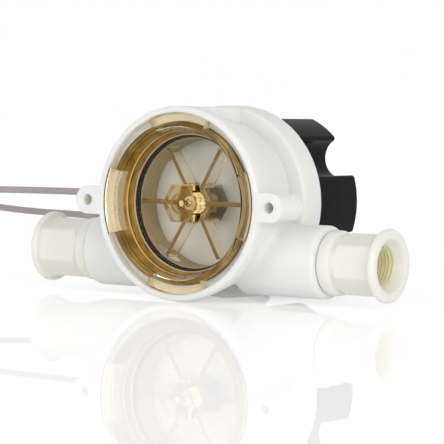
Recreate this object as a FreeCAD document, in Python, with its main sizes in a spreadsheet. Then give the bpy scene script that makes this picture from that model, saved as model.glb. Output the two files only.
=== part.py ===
"""Paddle wheel flow sensor, built as an assembly of separate solids.

Rotor axis along +Y with the lens facing -Y, flow along +X, +Z up. Every body is drawn about the rotor
axis with its front plane at local y = 0, and its Placement lifts it on to the floor plane z = 0.
"""

import FreeCAD
import Part
import Sketcher
import math
import os

Vector = FreeCAD.Vector

# name: (millimetres or degrees or a count, what it is)
VALUES = {
    "axis_z": (47.0, "height of the rotor axis above the floor"),
    "front_y": (-46.5, "row y of the front plane"),
    "rim_r": (46.5, "front rim radius"),
    "rim_len": (5.0, "straight length of the front rim"),
    "drum_rear_r": (39.3, "drum radius where it meets the flange"),
    "drum_len": (40.0, "front plane to flange"),
    "flange_r": (47.0, "rear flange radius"),
    "flange_end": (56.2, "rear face of the flange"),
    "rim_round": (1.5, "rounding of the front rim"),
    "rim_inner_round": (0.5, "rounding of the recess edge"),
    "flange_round": (1.6, "rounding of the flange edges"),
    "pad_half": (9.5, "half width of the print pad on top"),
    "pad_top": (46.3, "height of the print pad above the axis"),
    "pad_depth": (16.0, "depth of the print pad into the drum"),
    "pad_round": (1.0, "broken edges of the print pad"),
    "ear_reach": (6.2, "front rim to ear hole"),
    "ear_r": (6.9, "ear end radius"),
    "ear_t": (3.6, "ear tab thickness"),
    "boss_r": (6.5, "ear boss radius"),
    "boss_end": (20.5, "rear end of the ear boss"),
    "boss_round": (1.8, "rounding of the boss end"),
    "web_back": (2.5, "ear web stops short of the boss end"),
    "web_half": (5.2, "half height of the ear web"),
    "web_blend": (2.2, "blend of the ear web into the drum"),
    "ear_hole_r": (2.65, "ear hole radius"),
    "flow_y": (33.0, "flow axis behind the front plane"),
    "flow_z": (-26.0, "flow axis below the rotor axis"),
    "stub_r": (17.5, "flow stub radius"),
    "stub_root": (22.0, "where a stub starts inside the drum"),
    "stub_end": (67.6, "end face of a stub"),
    "stub_round": (2.6, "rounding of the stub mouth"),
    "stub_blend": (4.0, "blend of a stub into the drum"),
    "socket_r": (12.25, "socket in the stub"),
    "socket_d": (14.8, "socket depth"),
    "port_r": (8.0, "flow bore radius"),
    "jog_x": (43.0, "x of the cross passage"),
    "jog_r": (5.6, "cross passage radius"),
    "jog_front": (19.0, "front end of the cross passage"),
    "duct_r": (4.4, "duct into the rotor chamber"),
    "duct_y": (22.3, "duct axis behind the front plane"),
    "duct_z": (-25.6, "duct axis below the rotor axis"),
    "recess_r": (43.3, "lug recess radius"),
    "recess_d": (5.0, "lug recess depth"),
    "lens_bore_r": (39.3, "bore for the lens cup"),
    "ledge_y": (14.5, "ledge that the lens sits over"),
    "seal_seat_r": (34.4, "seal rebate radius"),
    "seal_seat_y": (17.3, "seal rebate floor"),
    "chamber_r": (31.3, "rotor chamber radius"),
    "chamber_end": (31.6, "rotor chamber back wall"),
    "wall": (3.0, "back wall thickness"),
    "bay_r": (33.5, "electronics bay radius"),
    "cover_r": (36.3, "rear cover radius"),
    "cover_y": (52.6, "front face of the rear cover"),
    "gasket_t": (0.6, "gasket thickness"),
    "cover_gap": (0.2, "clearance round the rear cover"),
    "cap_t": (3.0, "end wall of the neck"),
    "neck_r": (19.7, "neck that carries the knob"),
    "neck_end": (76.0, "end of the neck"),
    "neck_in_r": (16.0, "inside of the neck"),
    "lens_r": (39.0, "lens cup outside radius"),
    "lens_lip_r": (36.9, "lens cup inside radius at the front"),
    "lens_foot_r": (33.8, "lens cup inside radius at the window"),
    "window_y": (11.2, "front face of the window"),
    "lens_end": (14.2, "rear face of the lens"),
    "lug_r": (43.0, "lug radius"),
    "lug_t": (4.6, "lug thickness"),
    "lug_angle": (45.0, "angle of one lug"),
    "lug_count": (4, "lugs on the lens"),
    "nose_r": (10.25, "corner radius of the hexagon nose"),
    "nose_y": (3.0, "front face of the hexagon nose"),
    "dimple_r": (4.8, "ring on the nose"),
    "dimple_d": (0.8, "depth of the ring on the nose"),
    "pin_r": (1.5, "axle pin radius"),
    "pin_start": (5.6, "front end of the axle pin"),
    "pin_end": (34.0, "rear end of the axle pin"),
    "running": (0.05, "running clearance of the axle pin"),
    "hub_r": (7.2, "recess in the front of the hub"),
    "hub_start": (15.2, "front end of the bush, less its play"),
    "hub_end": (30.4, "rear of the rotor hub"),
    "hub_hex_r": (9.4, "corner radius of the hexagon hub"),
    "hub_hex_y": (16.4, "front of the hexagon hub"),
    "hub_floor": (20.3, "floor of the recess in the hub"),
    "rotor_r": (30.3, "blade tip radius"),
    "blade_t": (1.5, "blade thickness"),
    "blade_start": (15.7, "front edge of the blades"),
    "blade_end": (23.4, "rear edge of the blades"),
    "blade_count": (6, "blades on the rotor"),
    "bush_r": (3.0, "rotor bush radius"),
    "magnet_in_r": (3.7, "inside of the ring magnet"),
    "magnet_out_r": (6.6, "outside of the ring magnet"),
    "magnet_y": (26.4, "front of the ring magnet"),
    "seal_mid_r": (32.9, "lens seal ring radius"),
    "seal_sec": (1.25, "lens seal section radius"),
    "collar_r": (15.5, "adapter collar radius"),
    "collar_len": (6.8, "length of an adapter collar"),
    "collar_round": (1.5, "rounding of the collar"),
    "neck_groove_r": (13.2, "groove between collar and hexagon"),
    "neck_len": (1.4, "collar to hexagon"),
    "hex_len": (20.8, "length of the adapter hexagon"),
    "hex_lead": (2.2, "cone that breaks the start of the hexagon"),
    "hex_r": (15.0, "corner radius of the adapter hexagon"),
    "mouth_len": (3.8, "thickness of the adapter mouth flange"),
    "mouth_r": (17.5, "adapter mouth flange radius"),
    "mouth_round": (1.9, "rounding of the mouth flange"),
    "mouth_break": (0.9, "broken back edge of the mouth flange"),
    "mouth_blend": (1.3, "blend of the hexagon into the flange"),
    "mouth_dish_r": (12.9, "edge of the dished mouth"),
    "mouth_dish_d": (5.0, "depth of the dished mouth"),
    "thread_r": (9.3, "minor radius of the pipe thread"),
    "mouth_wall": (3.0, "wall outside the thread between the flats"),
    "thread_d": (16.5, "depth of the pipe thread"),
    "thread_lead": (1.2, "lead-in chamfer of the thread"),
    "spigot_r": (12.0, "adapter spigot radius"),
    "spigot_gap": (0.6, "spigot end to the bottom of its socket"),
    "seal_back": (8.6, "stub face to the middle of the spigot seal"),
    "ring_sec": (1.0, "spigot seal section radius"),
    "gland_y": (48.2, "cable gland behind the front plane"),
    "gland_z": (1.5, "cable gland above the rotor axis"),
    "gland_stem_r": (3.5, "gland stem radius"),
    "gland_face": (45.2, "flat that the gland seats on"),
    "gland_r": (6.0, "gland collar radius"),
    "gland_collar": (6.0, "length of the gland collar"),
    "gland_tip_x": (66.0, "end of the strain relief"),
    "gland_tip_r": (2.9, "radius at the end of the strain relief"),
    "cable_r": (1.75, "cable radius"),
    "board_r": (29.0, "circuit board radius"),
    "board_y": (36.8, "front face of the circuit board"),
    "board_t": (1.6, "circuit board thickness"),
    "post_r": (2.6, "board post radius"),
    "post_at": (24.0, "board posts from the axis"),
    "knob_start": (56.7, "front face of the knob"),
    "knob_end": (93.0, "rear face of the knob"),
    "knob_r": (44.7, "knob lobe radius"),
    "knob_bore_r": (19.78, "knob bore over the neck"),
    "knob_core_in": (23.5, "inside of the cored ring"),
    "knob_core_out": (29.3, "outside of the cored ring"),
    "knob_back": (4.5, "thickness of the knob end"),
    "neck_gap": (1.0, "room over the end of the neck"),
    "dish_out_r": (26.8, "outside of the dished knob end"),
    "dish_in_r": (25.0, "inside of the dished knob end"),
    "dish_d": (1.2, "depth of the dished knob end"),
    "lobe_round": (1.6, "rounding of the lobe corners"),
    "knob_round": (1.3, "rounding of the knob ends"),
    "scallop_r": (9.9, "narrow finger scallop radius"),
    "scallop_at": (41.8, "narrow finger scallops from the axis"),
    "scallop_first": (31.8, "angle of the first narrow scallop"),
    "wide_r": (12.77, "wide finger scallop radius"),
    "wide_at": (46.0, "wide finger scallops from the axis"),
    "wide_first": (84.4, "angle of the first wide scallop"),
    "coil_r": (20.0, "radius at the middle of the put-away turns"),
    "coil_x": (-56.0, "middle of the put-away turns"),
    "coil_y": (122.0, "middle of the put-away turns"),
    "lead_r": (0.7, "radius of one stripped lead"),
}


class Size:
    """A number from the sheet together with the expression that drives it."""

    def __init__(self, value, text):
        self.value = float(value)
        self.text = text

    def _with(self, other, sign, value):
        return Size(value, "(%s %s %s)" % (self.text, sign, other.text))

    def __add__(self, other):
        other = size(other)
        return self._with(other, "+", self.value + other.value)

    def __sub__(self, other):
        other = size(other)
        return self._with(other, "-", self.value - other.value)

    def __mul__(self, other):
        other = size(other)
        return self._with(other, "*", self.value * other.value)

    def __truediv__(self, other):
        other = size(other)
        return self._with(other, "/", self.value / other.value)

    def __neg__(self):
        return Size(-self.value, "(0 - %s)" % self.text)


def size(value):
    """A Size, or a plain number made into one."""
    return value if isinstance(value, Size) else Size(value, repr(float(value)))


doc = FreeCAD.newDocument("flow_sensor")
sheet = doc.addObject("Spreadsheet::Sheet", "Params")
for row, (alias, (number, meaning)) in enumerate(VALUES.items(), start=1):
    sheet.set("A%d" % row, alias)
    sheet.set("B%d" % row, str(number))
    sheet.set("C%d" % row, meaning)
    sheet.setAlias("B%d" % row, alias)
doc.recompute()


class Named:
    """Sizes by attribute, such as d.rim_r."""

    def __getattr__(self, alias):
        return Size(VALUES[alias][0], "Params." + alias)


d = Named()
nodes = {}


def bind(thing, **sizes):
    """Tie properties of a document object to the sheet."""
    for name, value in sizes.items():
        value = size(value)
        thing.setExpression(name.replace("__", "."), value.text)


def place(thing, x=0, y=0, z=0):
    """Put a node in the row frame, from a point relative to the axis and the front plane."""
    bind(thing, Placement__Base__x=size(x), Placement__Base__y=d.front_y + y, Placement__Base__z=d.axis_z + z)


def new_body(name):
    """A body that is one node of the assembly."""
    body = doc.addObject("PartDesign::Body", name)
    body.Label = name
    place(body)
    nodes[name] = body
    return body


def datum(body, role):
    """One of the body's own origin planes or axes."""
    return [o for o in body.Origin.OriginFeatures if o.Role == role][0]


def sketch_on(body, name, role, offset=0):
    """A sketch on an origin plane, moved along the plane's normal."""
    sketch = body.newObject("Sketcher::SketchObject", name)
    sketch.AttachmentSupport = [(datum(body, role), "")]
    sketch.MapMode = "FlatFace"
    bind(sketch, AttachmentOffset__Base__z=size(offset))
    return sketch


def hold(sketch, axis, geo, point, value):
    """Fix one coordinate of a sketch point to a size."""
    value = size(value)
    if abs(value.value) < 1e-9:
        sketch.addConstraint(Sketcher.Constraint("PointOnObject", geo, point, -2 if axis == "X" else -1))
        return
    index = sketch.addConstraint(Sketcher.Constraint("Distance" + axis, -1, 1, geo, point, value.value))
    sketch.setExpression("Constraints[%d]" % index, value.text)


def outline(body, name, role, points, offset=0):
    """A closed straight-sided outline with every corner tied to the sheet."""
    sketch = sketch_on(body, name, role, offset)
    places = [(size(a), size(b)) for a, b in points]
    count = len(places)
    for i, (a, b) in enumerate(places):
        e, f = places[(i + 1) % count]
        sketch.addGeometry(Part.LineSegment(Vector(a.value, b.value, 0), Vector(e.value, f.value, 0)))
    for i in range(count):
        sketch.addConstraint(Sketcher.Constraint("Coincident", i, 2, (i + 1) % count, 1))
    for i, (a, b) in enumerate(places):
        hold(sketch, "X", i, 1, a)
        hold(sketch, "Y", i, 1, b)
    return sketch


def circles(body, name, role, wanted, offset=0):
    """Circles given as (x, y, radius)."""
    sketch = sketch_on(body, name, role, offset)
    for i, (x, y, r) in enumerate((size(a), size(b), size(c)) for a, b, c in wanted):
        sketch.addGeometry(Part.Circle(Vector(x.value, y.value, 0), Vector(0, 0, 1), r.value))
        index = sketch.addConstraint(Sketcher.Constraint("Radius", i, r.value))
        sketch.setExpression("Constraints[%d]" % index, r.text)
        hold(sketch, "X", i, 3, x)
        hold(sketch, "Y", i, 3, y)
    return sketch


def hexagon(body, name, role, corner_r, turn, offset=0, hole=None):
    """A regular hexagon by its corner radius, with an optional round hole."""
    sketch = sketch_on(body, name, role, offset)
    corner_r = size(corner_r)
    spots = []
    for i in range(6):
        angle = math.radians(60 * i + turn)
        spots.append((corner_r * math.cos(angle), corner_r * math.sin(angle)))
    for i in range(6):
        a, b = spots[i], spots[(i + 1) % 6]
        start, stop = (Vector(p[0].value, p[1].value, 0) for p in (a, b))
        sketch.addGeometry(Part.LineSegment(start, stop))
    for i in range(6):
        sketch.addConstraint(Sketcher.Constraint("Coincident", i, 2, (i + 1) % 6, 1))
    for i in range(6):
        hold(sketch, "X", i, 1, spots[i][0])
        hold(sketch, "Y", i, 1, spots[i][1])
    if hole is not None:
        hole = size(hole)
        sketch.addGeometry(Part.Circle(Vector(0, 0, 0), Vector(0, 0, 1), hole.value))
        sketch.addConstraint(Sketcher.Constraint("Coincident", 6, 3, -1, 1))
        index = sketch.addConstraint(Sketcher.Constraint("Radius", 6, hole.value))
        sketch.setExpression("Constraints[%d]" % index, hole.text)
    return sketch


def feature(body, kind, name, sketch, length=None, back=False, through=False, axis=None):
    """Pad, Pocket, Revolution or Groove of one sketch."""
    made = body.newObject("PartDesign::" + kind, name)
    made.Profile = sketch
    if axis is not None:
        made.ReferenceAxis = (sketch, [axis])
        made.Angle = 360
    if through:
        made.Type = "ThroughAll"
    if length is not None:
        bind(made, Length=length)
    made.Reversed = back
    sketch.Visibility = False
    doc.recompute()
    return made


def repeat(body, name, originals, count, role="Y_Axis"):
    """A full circle of copies about one of the body's axes."""
    ring = body.newObject("PartDesign::PolarPattern", name)
    ring.Originals = originals
    ring.Axis = (datum(body, role), [""])
    ring.Angle = 360
    bind(ring, Occurrences=count)
    body.Tip = ring
    doc.recompute()
    return ring


def edges_where(shape, test):
    """Names of the edges of a shape that pass a test."""
    return ["Edge%d" % (i + 1) for i, edge in enumerate(shape.Edges) if test(edge)]


def soften(body, name, base, kind, amount, test):
    """A Fillet or Chamfer on the edges of the last feature that pass a test."""
    chosen = edges_where(base.Shape, test)
    made = body.newObject("PartDesign::" + kind, name)
    made.Base = (base, chosen)
    bind(made, **{"Radius" if kind == "Fillet" else "Size": amount})
    doc.recompute()
    return made


def primitive(kind, name, sizes, at, turn=None):
    """A Part primitive that is a node of its own, placed from the axis and the front plane."""
    made = doc.addObject("Part::" + kind, name)
    made.Label = name
    bind(made, **sizes)
    if turn is not None:
        made.Placement.Rotation = turn
    place(made, *at)
    nodes[name] = made
    return made


ALONG_X = FreeCAD.Rotation(Vector(0, 1, 0), 90)
ALONG_Y = FreeCAD.Rotation(Vector(1, 0, 0), -90)


def is_circle(edge, radius, axis_value=None, axis="y", slack=0.02):
    """Whether an edge is a circle of that radius, at that place along an axis."""
    curve = edge.Curve
    if not hasattr(curve, "Radius") or abs(curve.Radius - radius.value) > slack:
        return False
    return axis_value is None or abs(getattr(curve.Center, axis) - axis_value.value) < slack


def samples(edge):
    """Points spread along an edge."""
    first, last_at = edge.FirstParameter, edge.LastParameter
    return [edge.valueAt(first + (last_at - first) * i / 6) for i in range(7)]


def runs_along(edge, axis):
    """Whether an edge is straight and parallel to an axis."""
    spots = samples(edge)
    others = [name for name in "xyz" if name != axis]
    return all(abs(getattr(p, name) - getattr(spots[0], name)) < 0.02 for p in spots for name in others)


def on_plane(edge, axis, value):
    """Whether an edge lies at plus or minus a value along an axis."""
    return all(abs(abs(getattr(p, axis)) - value.value) < 0.02 for p in samples(edge))


def on_cone(edge):
    """Whether an edge lies on the taper of the drum."""
    slope = (d.drum_rear_r.value - d.rim_r.value) / (d.drum_len.value - d.rim_len.value)
    return edge.Length > 5 and all(
        abs(math.hypot(p.x, p.z) - d.rim_r.value - slope * (p.y - d.rim_len.value)) < 0.05
        for p in samples(edge))


def on_stub(edge):
    """Whether an edge lies on the outside of a flow stub."""
    return all(abs(math.hypot(p.y - d.flow_y.value, p.z - d.flow_z.value) - d.stub_r.value) < 0.05
               for p in samples(edge))


# Housing: drum, flange, ears, stubs and print pad in one moulding
body = new_body("housing_body")
profile = outline(body, "DrumProfile", "XY_Plane", [
    (0, 0), (d.rim_r, 0), (d.rim_r, d.rim_len), (d.drum_rear_r, d.drum_len), (d.flange_r, d.drum_len),
    (d.flange_r, d.flange_end), (0, d.flange_end)])
last = feature(body, "Revolution", "Drum", profile, axis="V_Axis")
last = soften(body, "RimRound", last, "Fillet", d.rim_round, lambda e: is_circle(e, d.rim_r, size(0)))
last = soften(body, "FlangeRound", last, "Fillet", d.flange_round, lambda e: is_circle(e, d.flange_r))
pad_low = d.pad_top - d.pad_depth
pad_box = outline(body, "PadOutline", "XZ_Plane", [
    (-d.pad_half, pad_low), (d.pad_half, pad_low), (d.pad_half, d.pad_top - d.pad_round),
    (d.pad_half - d.pad_round, d.pad_top), (-(d.pad_half - d.pad_round), d.pad_top),
    (-d.pad_half, d.pad_top - d.pad_round)], offset=-d.rim_len)
feature(body, "Pad", "PrintPad", pad_box, length=d.drum_len - d.rim_len, back=True)
ear_x = d.rim_r + d.ear_reach
ear_web = outline(body, "EarWeb", "XZ_Plane", [
    (-ear_x, -d.web_half), (ear_x, -d.web_half), (ear_x, d.web_half), (-ear_x, d.web_half)])
last = feature(body, "Pad", "EarWebs", ear_web, length=d.boss_end - d.web_back, back=True)
last = soften(body, "EarBlends", last, "Fillet", d.web_blend, lambda e: on_plane(e, "z", d.web_half)
              and on_cone(e))
ear_tab = outline(body, "EarTab", "XZ_Plane", [
    (-ear_x, -d.ear_r), (ear_x, -d.ear_r), (ear_x, d.ear_r), (-ear_x, d.ear_r)])
feature(body, "Pad", "EarTabs", ear_tab, length=d.ear_t, back=True)
ear_ends = circles(body, "EarEnds", "XZ_Plane", [(-ear_x, 0, d.ear_r), (ear_x, 0, d.ear_r)])
feature(body, "Pad", "EarRounds", ear_ends, length=d.ear_t, back=True)
ear_boss = circles(body, "EarBoss", "XZ_Plane", [(-ear_x, 0, d.boss_r), (ear_x, 0, d.boss_r)])
last = feature(body, "Pad", "EarBosses", ear_boss, length=d.boss_end, back=True)
last = soften(body, "BossEnds", last, "Fillet", d.boss_round, lambda e: is_circle(e, d.boss_r, d.boss_end))
stub_right = circles(body, "StubRight", "YZ_Plane", [(d.flow_y, d.flow_z, d.stub_r)], offset=d.stub_root)
feature(body, "Pad", "OutletStub", stub_right, length=d.stub_end - d.stub_root)
stub_left = circles(body, "StubLeft", "YZ_Plane", [(d.flow_y, d.flow_z, d.stub_r)], offset=-d.stub_root)
last = feature(body, "Pad", "InletStub", stub_left, length=d.stub_end - d.stub_root, back=True)
last = soften(body, "StubMouths", last, "Fillet", d.stub_round, lambda e: is_circle(e, d.stub_r)
              and abs(abs(e.Curve.Center.x) - d.stub_end.value) < 0.02)
last = soften(body, "StubBlends", last, "Fillet", d.stub_blend, lambda e: on_stub(e) and on_cone(e))
front_room = outline(body, "FrontRoom", "XY_Plane", [
    (0, -1), (d.recess_r + d.rim_inner_round + 1, -1), (d.recess_r, d.rim_inner_round),
    (d.recess_r, d.recess_d), (d.lens_bore_r, d.recess_d), (d.lens_bore_r, d.ledge_y),
    (d.seal_seat_r, d.ledge_y), (d.seal_seat_r, d.seal_seat_y),
    (d.chamber_r, d.seal_seat_y), (d.chamber_r, d.chamber_end), (0, d.chamber_end)])
feature(body, "Groove", "LensAndChamber", front_room, axis="V_Axis")
rear_room = outline(body, "RearRoom", "XY_Plane", [
    (0, d.chamber_end + d.wall), (d.bay_r, d.chamber_end + d.wall), (d.bay_r, d.cover_y - d.gasket_t),
    (d.cover_r + d.cover_gap, d.cover_y - d.gasket_t), (d.cover_r + d.cover_gap, d.flange_end + 1),
    (0, d.flange_end + 1)])
feature(body, "Groove", "ElectronicsBay", rear_room, axis="V_Axis")
pin_hole = circles(body, "PinHole", "XZ_Plane", [(0, 0, d.pin_r)], offset=-d.chamber_end)
feature(body, "Pocket", "PinSeat", pin_hole, length=d.pin_end - d.chamber_end)
posts = circles(body, "BoardPost", "XZ_Plane", [(0, d.post_at, d.post_r)], offset=-(d.chamber_end + d.wall))
post = feature(body, "Pad", "BoardPostPad", posts, length=d.board_y - d.chamber_end - d.wall, back=True)
last = repeat(body, "BoardPosts", [post], size(3))
ear_holes = circles(body, "EarHoles", "XZ_Plane", [(-ear_x, 0, d.ear_hole_r), (ear_x, 0, d.ear_hole_r)])
feature(body, "Pocket", "EarHolePair", ear_holes, length=d.boss_end + 1)
for side, sign in (("Outlet", 1), ("Inlet", -1)):
    mouth = circles(body, side + "Socket", "YZ_Plane", [(d.flow_y, d.flow_z, d.socket_r)],
                    offset=d.stub_end * sign)
    feature(body, "Pocket", side + "SocketCut", mouth, length=d.socket_d, back=sign < 0)
    port = circles(body, side + "Port", "YZ_Plane", [(d.flow_y, d.flow_z, d.port_r)],
                   offset=d.stub_end * sign)
    feature(body, "Pocket", side + "PortCut", port, length=d.stub_end - d.jog_x, back=sign < 0)
    jog = circles(body, side + "Jog", "XZ_Plane", [(d.jog_x * sign, d.flow_z, d.jog_r)], offset=-d.jog_front)
    feature(body, "Pocket", side + "JogCut", jog, length=d.flow_y - d.jog_front)
    duct = circles(body, side + "Duct", "YZ_Plane", [(d.duct_y, d.duct_z, d.duct_r)],
                   offset=d.jog_x * sign)
    feature(body, "Pocket", side + "DuctCut", duct, length=d.jog_x - 12, back=sign < 0)
gland_flat = circles(body, "GlandFlat", "YZ_Plane", [(d.gland_y, d.gland_z, d.gland_r + 0.3)],
                     offset=-(d.flange_r + 1))
feature(body, "Pocket", "GlandSpot", gland_flat, length=d.flange_r + 1 - d.gland_face, back=True)
gland_hole = circles(body, "GlandHole", "YZ_Plane", [(d.gland_y, d.gland_z, d.gland_stem_r)],
                     offset=-(d.flange_r + 1))
feature(body, "Pocket", "GlandBore", gland_hole, length=d.flange_r + 1 - d.bay_r + 3, back=True)

# Lens: a cup with four lugs, a window and a hexagon nose that holds the front end of the pin
body = new_body("lens_cover")
cup = outline(body, "CupProfile", "XY_Plane", [
    (0, d.window_y), (d.lens_foot_r, d.window_y), (d.lens_lip_r, 0), (d.lens_r, 0), (d.lens_r, d.lens_end),
    (0, d.lens_end)])
feature(body, "Revolution", "Cup", cup, axis="V_Axis")
lug = sketch_on(body, "LugOutline", "XZ_Plane")
inner, outer, half = d.lens_r - 0.5, d.lug_r, math.radians(VALUES["lug_angle"][0] / 2)
for radius in (inner, outer):
    whole = Part.Circle(Vector(0, 0, 0), Vector(0, 0, 1), radius.value)
    lug.addGeometry(Part.ArcOfCircle(whole, -half, half))
for side in (-half, half):
    lug.addGeometry(Part.LineSegment(
        Vector(inner.value * math.cos(side), inner.value * math.sin(side), 0),
        Vector(outer.value * math.cos(side), outer.value * math.sin(side), 0)))
for first, point, second, other in ((0, 1, 2, 1), (0, 2, 3, 1), (1, 1, 2, 2), (1, 2, 3, 2)):
    lug.addConstraint(Sketcher.Constraint("Coincident", first, point, second, other))
for arc, radius in ((0, inner), (1, outer)):
    lug.addConstraint(Sketcher.Constraint("Coincident", arc, 3, -1, 1))
    place_of = lug.addConstraint(Sketcher.Constraint("Radius", arc, radius.value))
    lug.setExpression("Constraints[%d]" % place_of, radius.text)
lug.addConstraint(Sketcher.Constraint("Symmetric", 1, 1, 1, 2, -1))
lug.addConstraint(Sketcher.Constraint("PointOnObject", -1, 1, 2))
lug.addConstraint(Sketcher.Constraint("PointOnObject", -1, 1, 3))
place_of = lug.addConstraint(Sketcher.Constraint("Angle", 2, 1, 3, 1, 2 * half))
lug.setExpression("Constraints[%d]" % place_of, d.lug_angle.text)
one_lug = feature(body, "Pad", "Lug", lug, length=d.lug_t, back=True)
repeat(body, "Lugs", [one_lug], d.lug_count)
nose = hexagon(body, "NoseOutline", "XZ_Plane", d.nose_r, 0, offset=-d.nose_y)
feature(body, "Pad", "Nose", nose, length=d.window_y - d.nose_y + 0.5, back=True)
ring = circles(body, "NoseRing", "XZ_Plane", [(0, 0, d.dimple_r), (0, 0, d.dimple_r * 0.62)],
               offset=-d.nose_y)
feature(body, "Pocket", "NoseRingCut", ring, length=d.dimple_d)
blind = circles(body, "PinBlind", "XZ_Plane", [(0, 0, d.pin_r + d.running)], offset=-d.lens_end)
last = feature(body, "Pocket", "PinBlindCut", blind, length=d.lens_end - d.pin_start + 0.3, back=True)
soften(body, "FootRound", last, "Fillet", size(1.6), lambda e: is_circle(e, d.lens_foot_r, d.window_y))

# Rotor: hexagon hub with a recessed front, and blades, in one moulding
body = new_body("rotor")
hub = hexagon(body, "HubHex", "XZ_Plane", d.hub_hex_r, 0, offset=-d.hub_hex_y, hole=d.bush_r)
feature(body, "Pad", "HubHexagon", hub, length=d.hub_end - d.hub_hex_y, back=True)
vane = outline(body, "BladeOutline", "XZ_Plane", [
    (d.bush_r + 1.5, -d.blade_t / 2), (d.rotor_r, -d.blade_t / 2), (d.rotor_r, d.blade_t / 2),
    (d.bush_r + 1.5, d.blade_t / 2)], offset=-d.blade_start)
blade = feature(body, "Pad", "Blade", vane, length=d.blade_end - d.blade_start, back=True)
repeat(body, "Blades", [blade], d.blade_count)
seat = circles(body, "MagnetSeat", "XZ_Plane", [(0, 0, d.magnet_out_r), (0, 0, d.magnet_in_r)],
               offset=-d.hub_end)
feature(body, "Pocket", "MagnetSeatCut", seat, length=d.hub_end - d.magnet_y, back=True)
recess = circles(body, "HubRecess", "XZ_Plane", [(0, 0, d.hub_r)], offset=-d.hub_start)
feature(body, "Pocket", "HubRecessCut", recess, length=d.hub_floor - d.hub_start)

body = new_body("rotor_bush")
bush = circles(body, "BushRing", "XZ_Plane", [(0, 0, d.bush_r), (0, 0, d.pin_r + d.running)],
               offset=-(d.hub_start - 0.3))
feature(body, "Pad", "Bush", bush, length=d.hub_end - d.hub_start + 0.6, back=True)

body = new_body("rotor_magnet")
magnet = circles(body, "MagnetRing", "XZ_Plane", [(0, 0, d.magnet_out_r), (0, 0, d.magnet_in_r)],
                 offset=-d.magnet_y)
feature(body, "Pad", "Magnet", magnet, length=d.hub_end - d.magnet_y, back=True)

primitive("Cylinder", "axle_pin", {"Radius": d.pin_r, "Height": d.pin_end - d.pin_start},
          (0, d.pin_start, 0), ALONG_Y)
primitive("Torus", "lens_seal", {"Radius1": d.seal_mid_r, "Radius2": d.seal_sec},
          (0, d.seal_seat_y - d.seal_sec, 0), ALONG_Y)


def runs_flat(edge):
    """Whether an edge is straight, as along a flat of a hexagon."""
    return isinstance(edge.Curve, Part.Line)


# stations along an adapter, from the face of its stub
collar_end = d.stub_end + d.collar_len
hex_x = collar_end + d.neck_len
mouth_x = hex_x + d.hex_len
mouth_end = mouth_x + d.mouth_len
spigot_x = d.stub_end - d.socket_d + d.spigot_gap
ring_x = d.stub_end - d.seal_back


def adapter(name, turned):
    """A threaded adapter with spigot, collar, hexagon and mouth flange, drawn along +X."""
    made = new_body(name)
    if turned:
        made.Placement.Rotation = FreeCAD.Rotation(Vector(0, 0, 1), 180)
    place(made, 0, d.flow_y, d.flow_z)
    groove, lip = d.ring_sec * 1.3, mouth_end - d.mouth_dish_d
    turned_profile = outline(made, name + "_profile", "XY_Plane", [
        (spigot_x, d.port_r), (spigot_x, d.spigot_r), (ring_x - groove, d.spigot_r),
        (ring_x - groove, d.spigot_r - d.ring_sec * 1.75), (ring_x + groove, d.spigot_r - d.ring_sec * 1.75),
        (ring_x + groove, d.spigot_r), (d.stub_end, d.spigot_r), (d.stub_end, d.collar_r),
        (collar_end, d.collar_r), (collar_end, d.neck_groove_r), (hex_x, d.neck_groove_r),
        (hex_x, d.thread_r + d.mouth_wall), (mouth_x, d.thread_r + d.mouth_wall),
        (mouth_x, d.mouth_r - d.mouth_break), (mouth_x + d.mouth_break, d.mouth_r),
        (mouth_end, d.mouth_r), (mouth_end, d.mouth_dish_r), (lip, d.thread_r + d.thread_lead),
        (lip - d.thread_lead, d.thread_r), (lip - d.thread_lead - d.thread_d, d.thread_r),
        (lip - d.thread_lead - d.thread_d, d.port_r)])
    feature(made, "Revolution", name + "_turned", turned_profile, axis="H_Axis")
    # each thread came to its stop with a corner 7.5 degrees behind the top
    corner = 97.5 if turned else 82.5
    flats = hexagon(made, name + "_flats", "YZ_Plane", d.hex_r, corner, offset=hex_x, hole=d.thread_r + 2)
    tip = feature(made, "Pad", name + "_hexagon", flats, length=d.hex_len)
    tip = soften(made, name + "_blend", tip, "Fillet", d.mouth_blend, lambda e: on_plane(e, "x", mouth_x)
                 and runs_flat(e))
    broken = outline(made, name + "_broken", "XY_Plane", [
        (hex_x, d.neck_groove_r), (hex_x, d.mouth_r), (hex_x + d.hex_lead * 2, d.mouth_r)])
    tip = feature(made, "Groove", name + "_lead", broken, axis="H_Axis")
    tip = soften(made, name + "_mouth", tip, "Fillet", d.mouth_round,
                 lambda e: is_circle(e, d.mouth_r, mouth_end, "x")
                 or is_circle(e, d.mouth_dish_r, mouth_end, "x"))
    tip = soften(made, name + "_collar", tip, "Fillet", d.collar_round, lambda e: is_circle(e, d.collar_r))
    return made


adapter("outlet_adapter", False)
adapter("inlet_adapter", True)
for side, sign in (("outlet_seal", 1), ("inlet_seal", -1)):
    primitive("Torus", side, {"Radius1": d.spigot_r - d.ring_sec * 0.75, "Radius2": d.ring_sec},
              (ring_x * sign, d.flow_y, d.flow_z), ALONG_X)

# Rear cover with the neck that the knob turns on
body = new_body("rear_cover")
shell = outline(body, "CoverProfile", "XY_Plane", [
    (d.neck_in_r, d.cover_y), (d.cover_r, d.cover_y), (d.cover_r, d.flange_end), (d.neck_r, d.flange_end),
    (d.neck_r, d.neck_end), (0, d.neck_end), (0, d.neck_end - d.cap_t), (d.neck_in_r, d.neck_end - d.cap_t)])
feature(body, "Revolution", "Cover", shell, axis="V_Axis")
body = new_body("cover_gasket")
flat_ring = circles(body, "GasketRing", "XZ_Plane", [(0, 0, d.cover_r), (0, 0, d.bay_r)],
                    offset=-(d.cover_y - d.gasket_t))
feature(body, "Pad", "Gasket", flat_ring, length=d.gasket_t, back=True)

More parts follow.
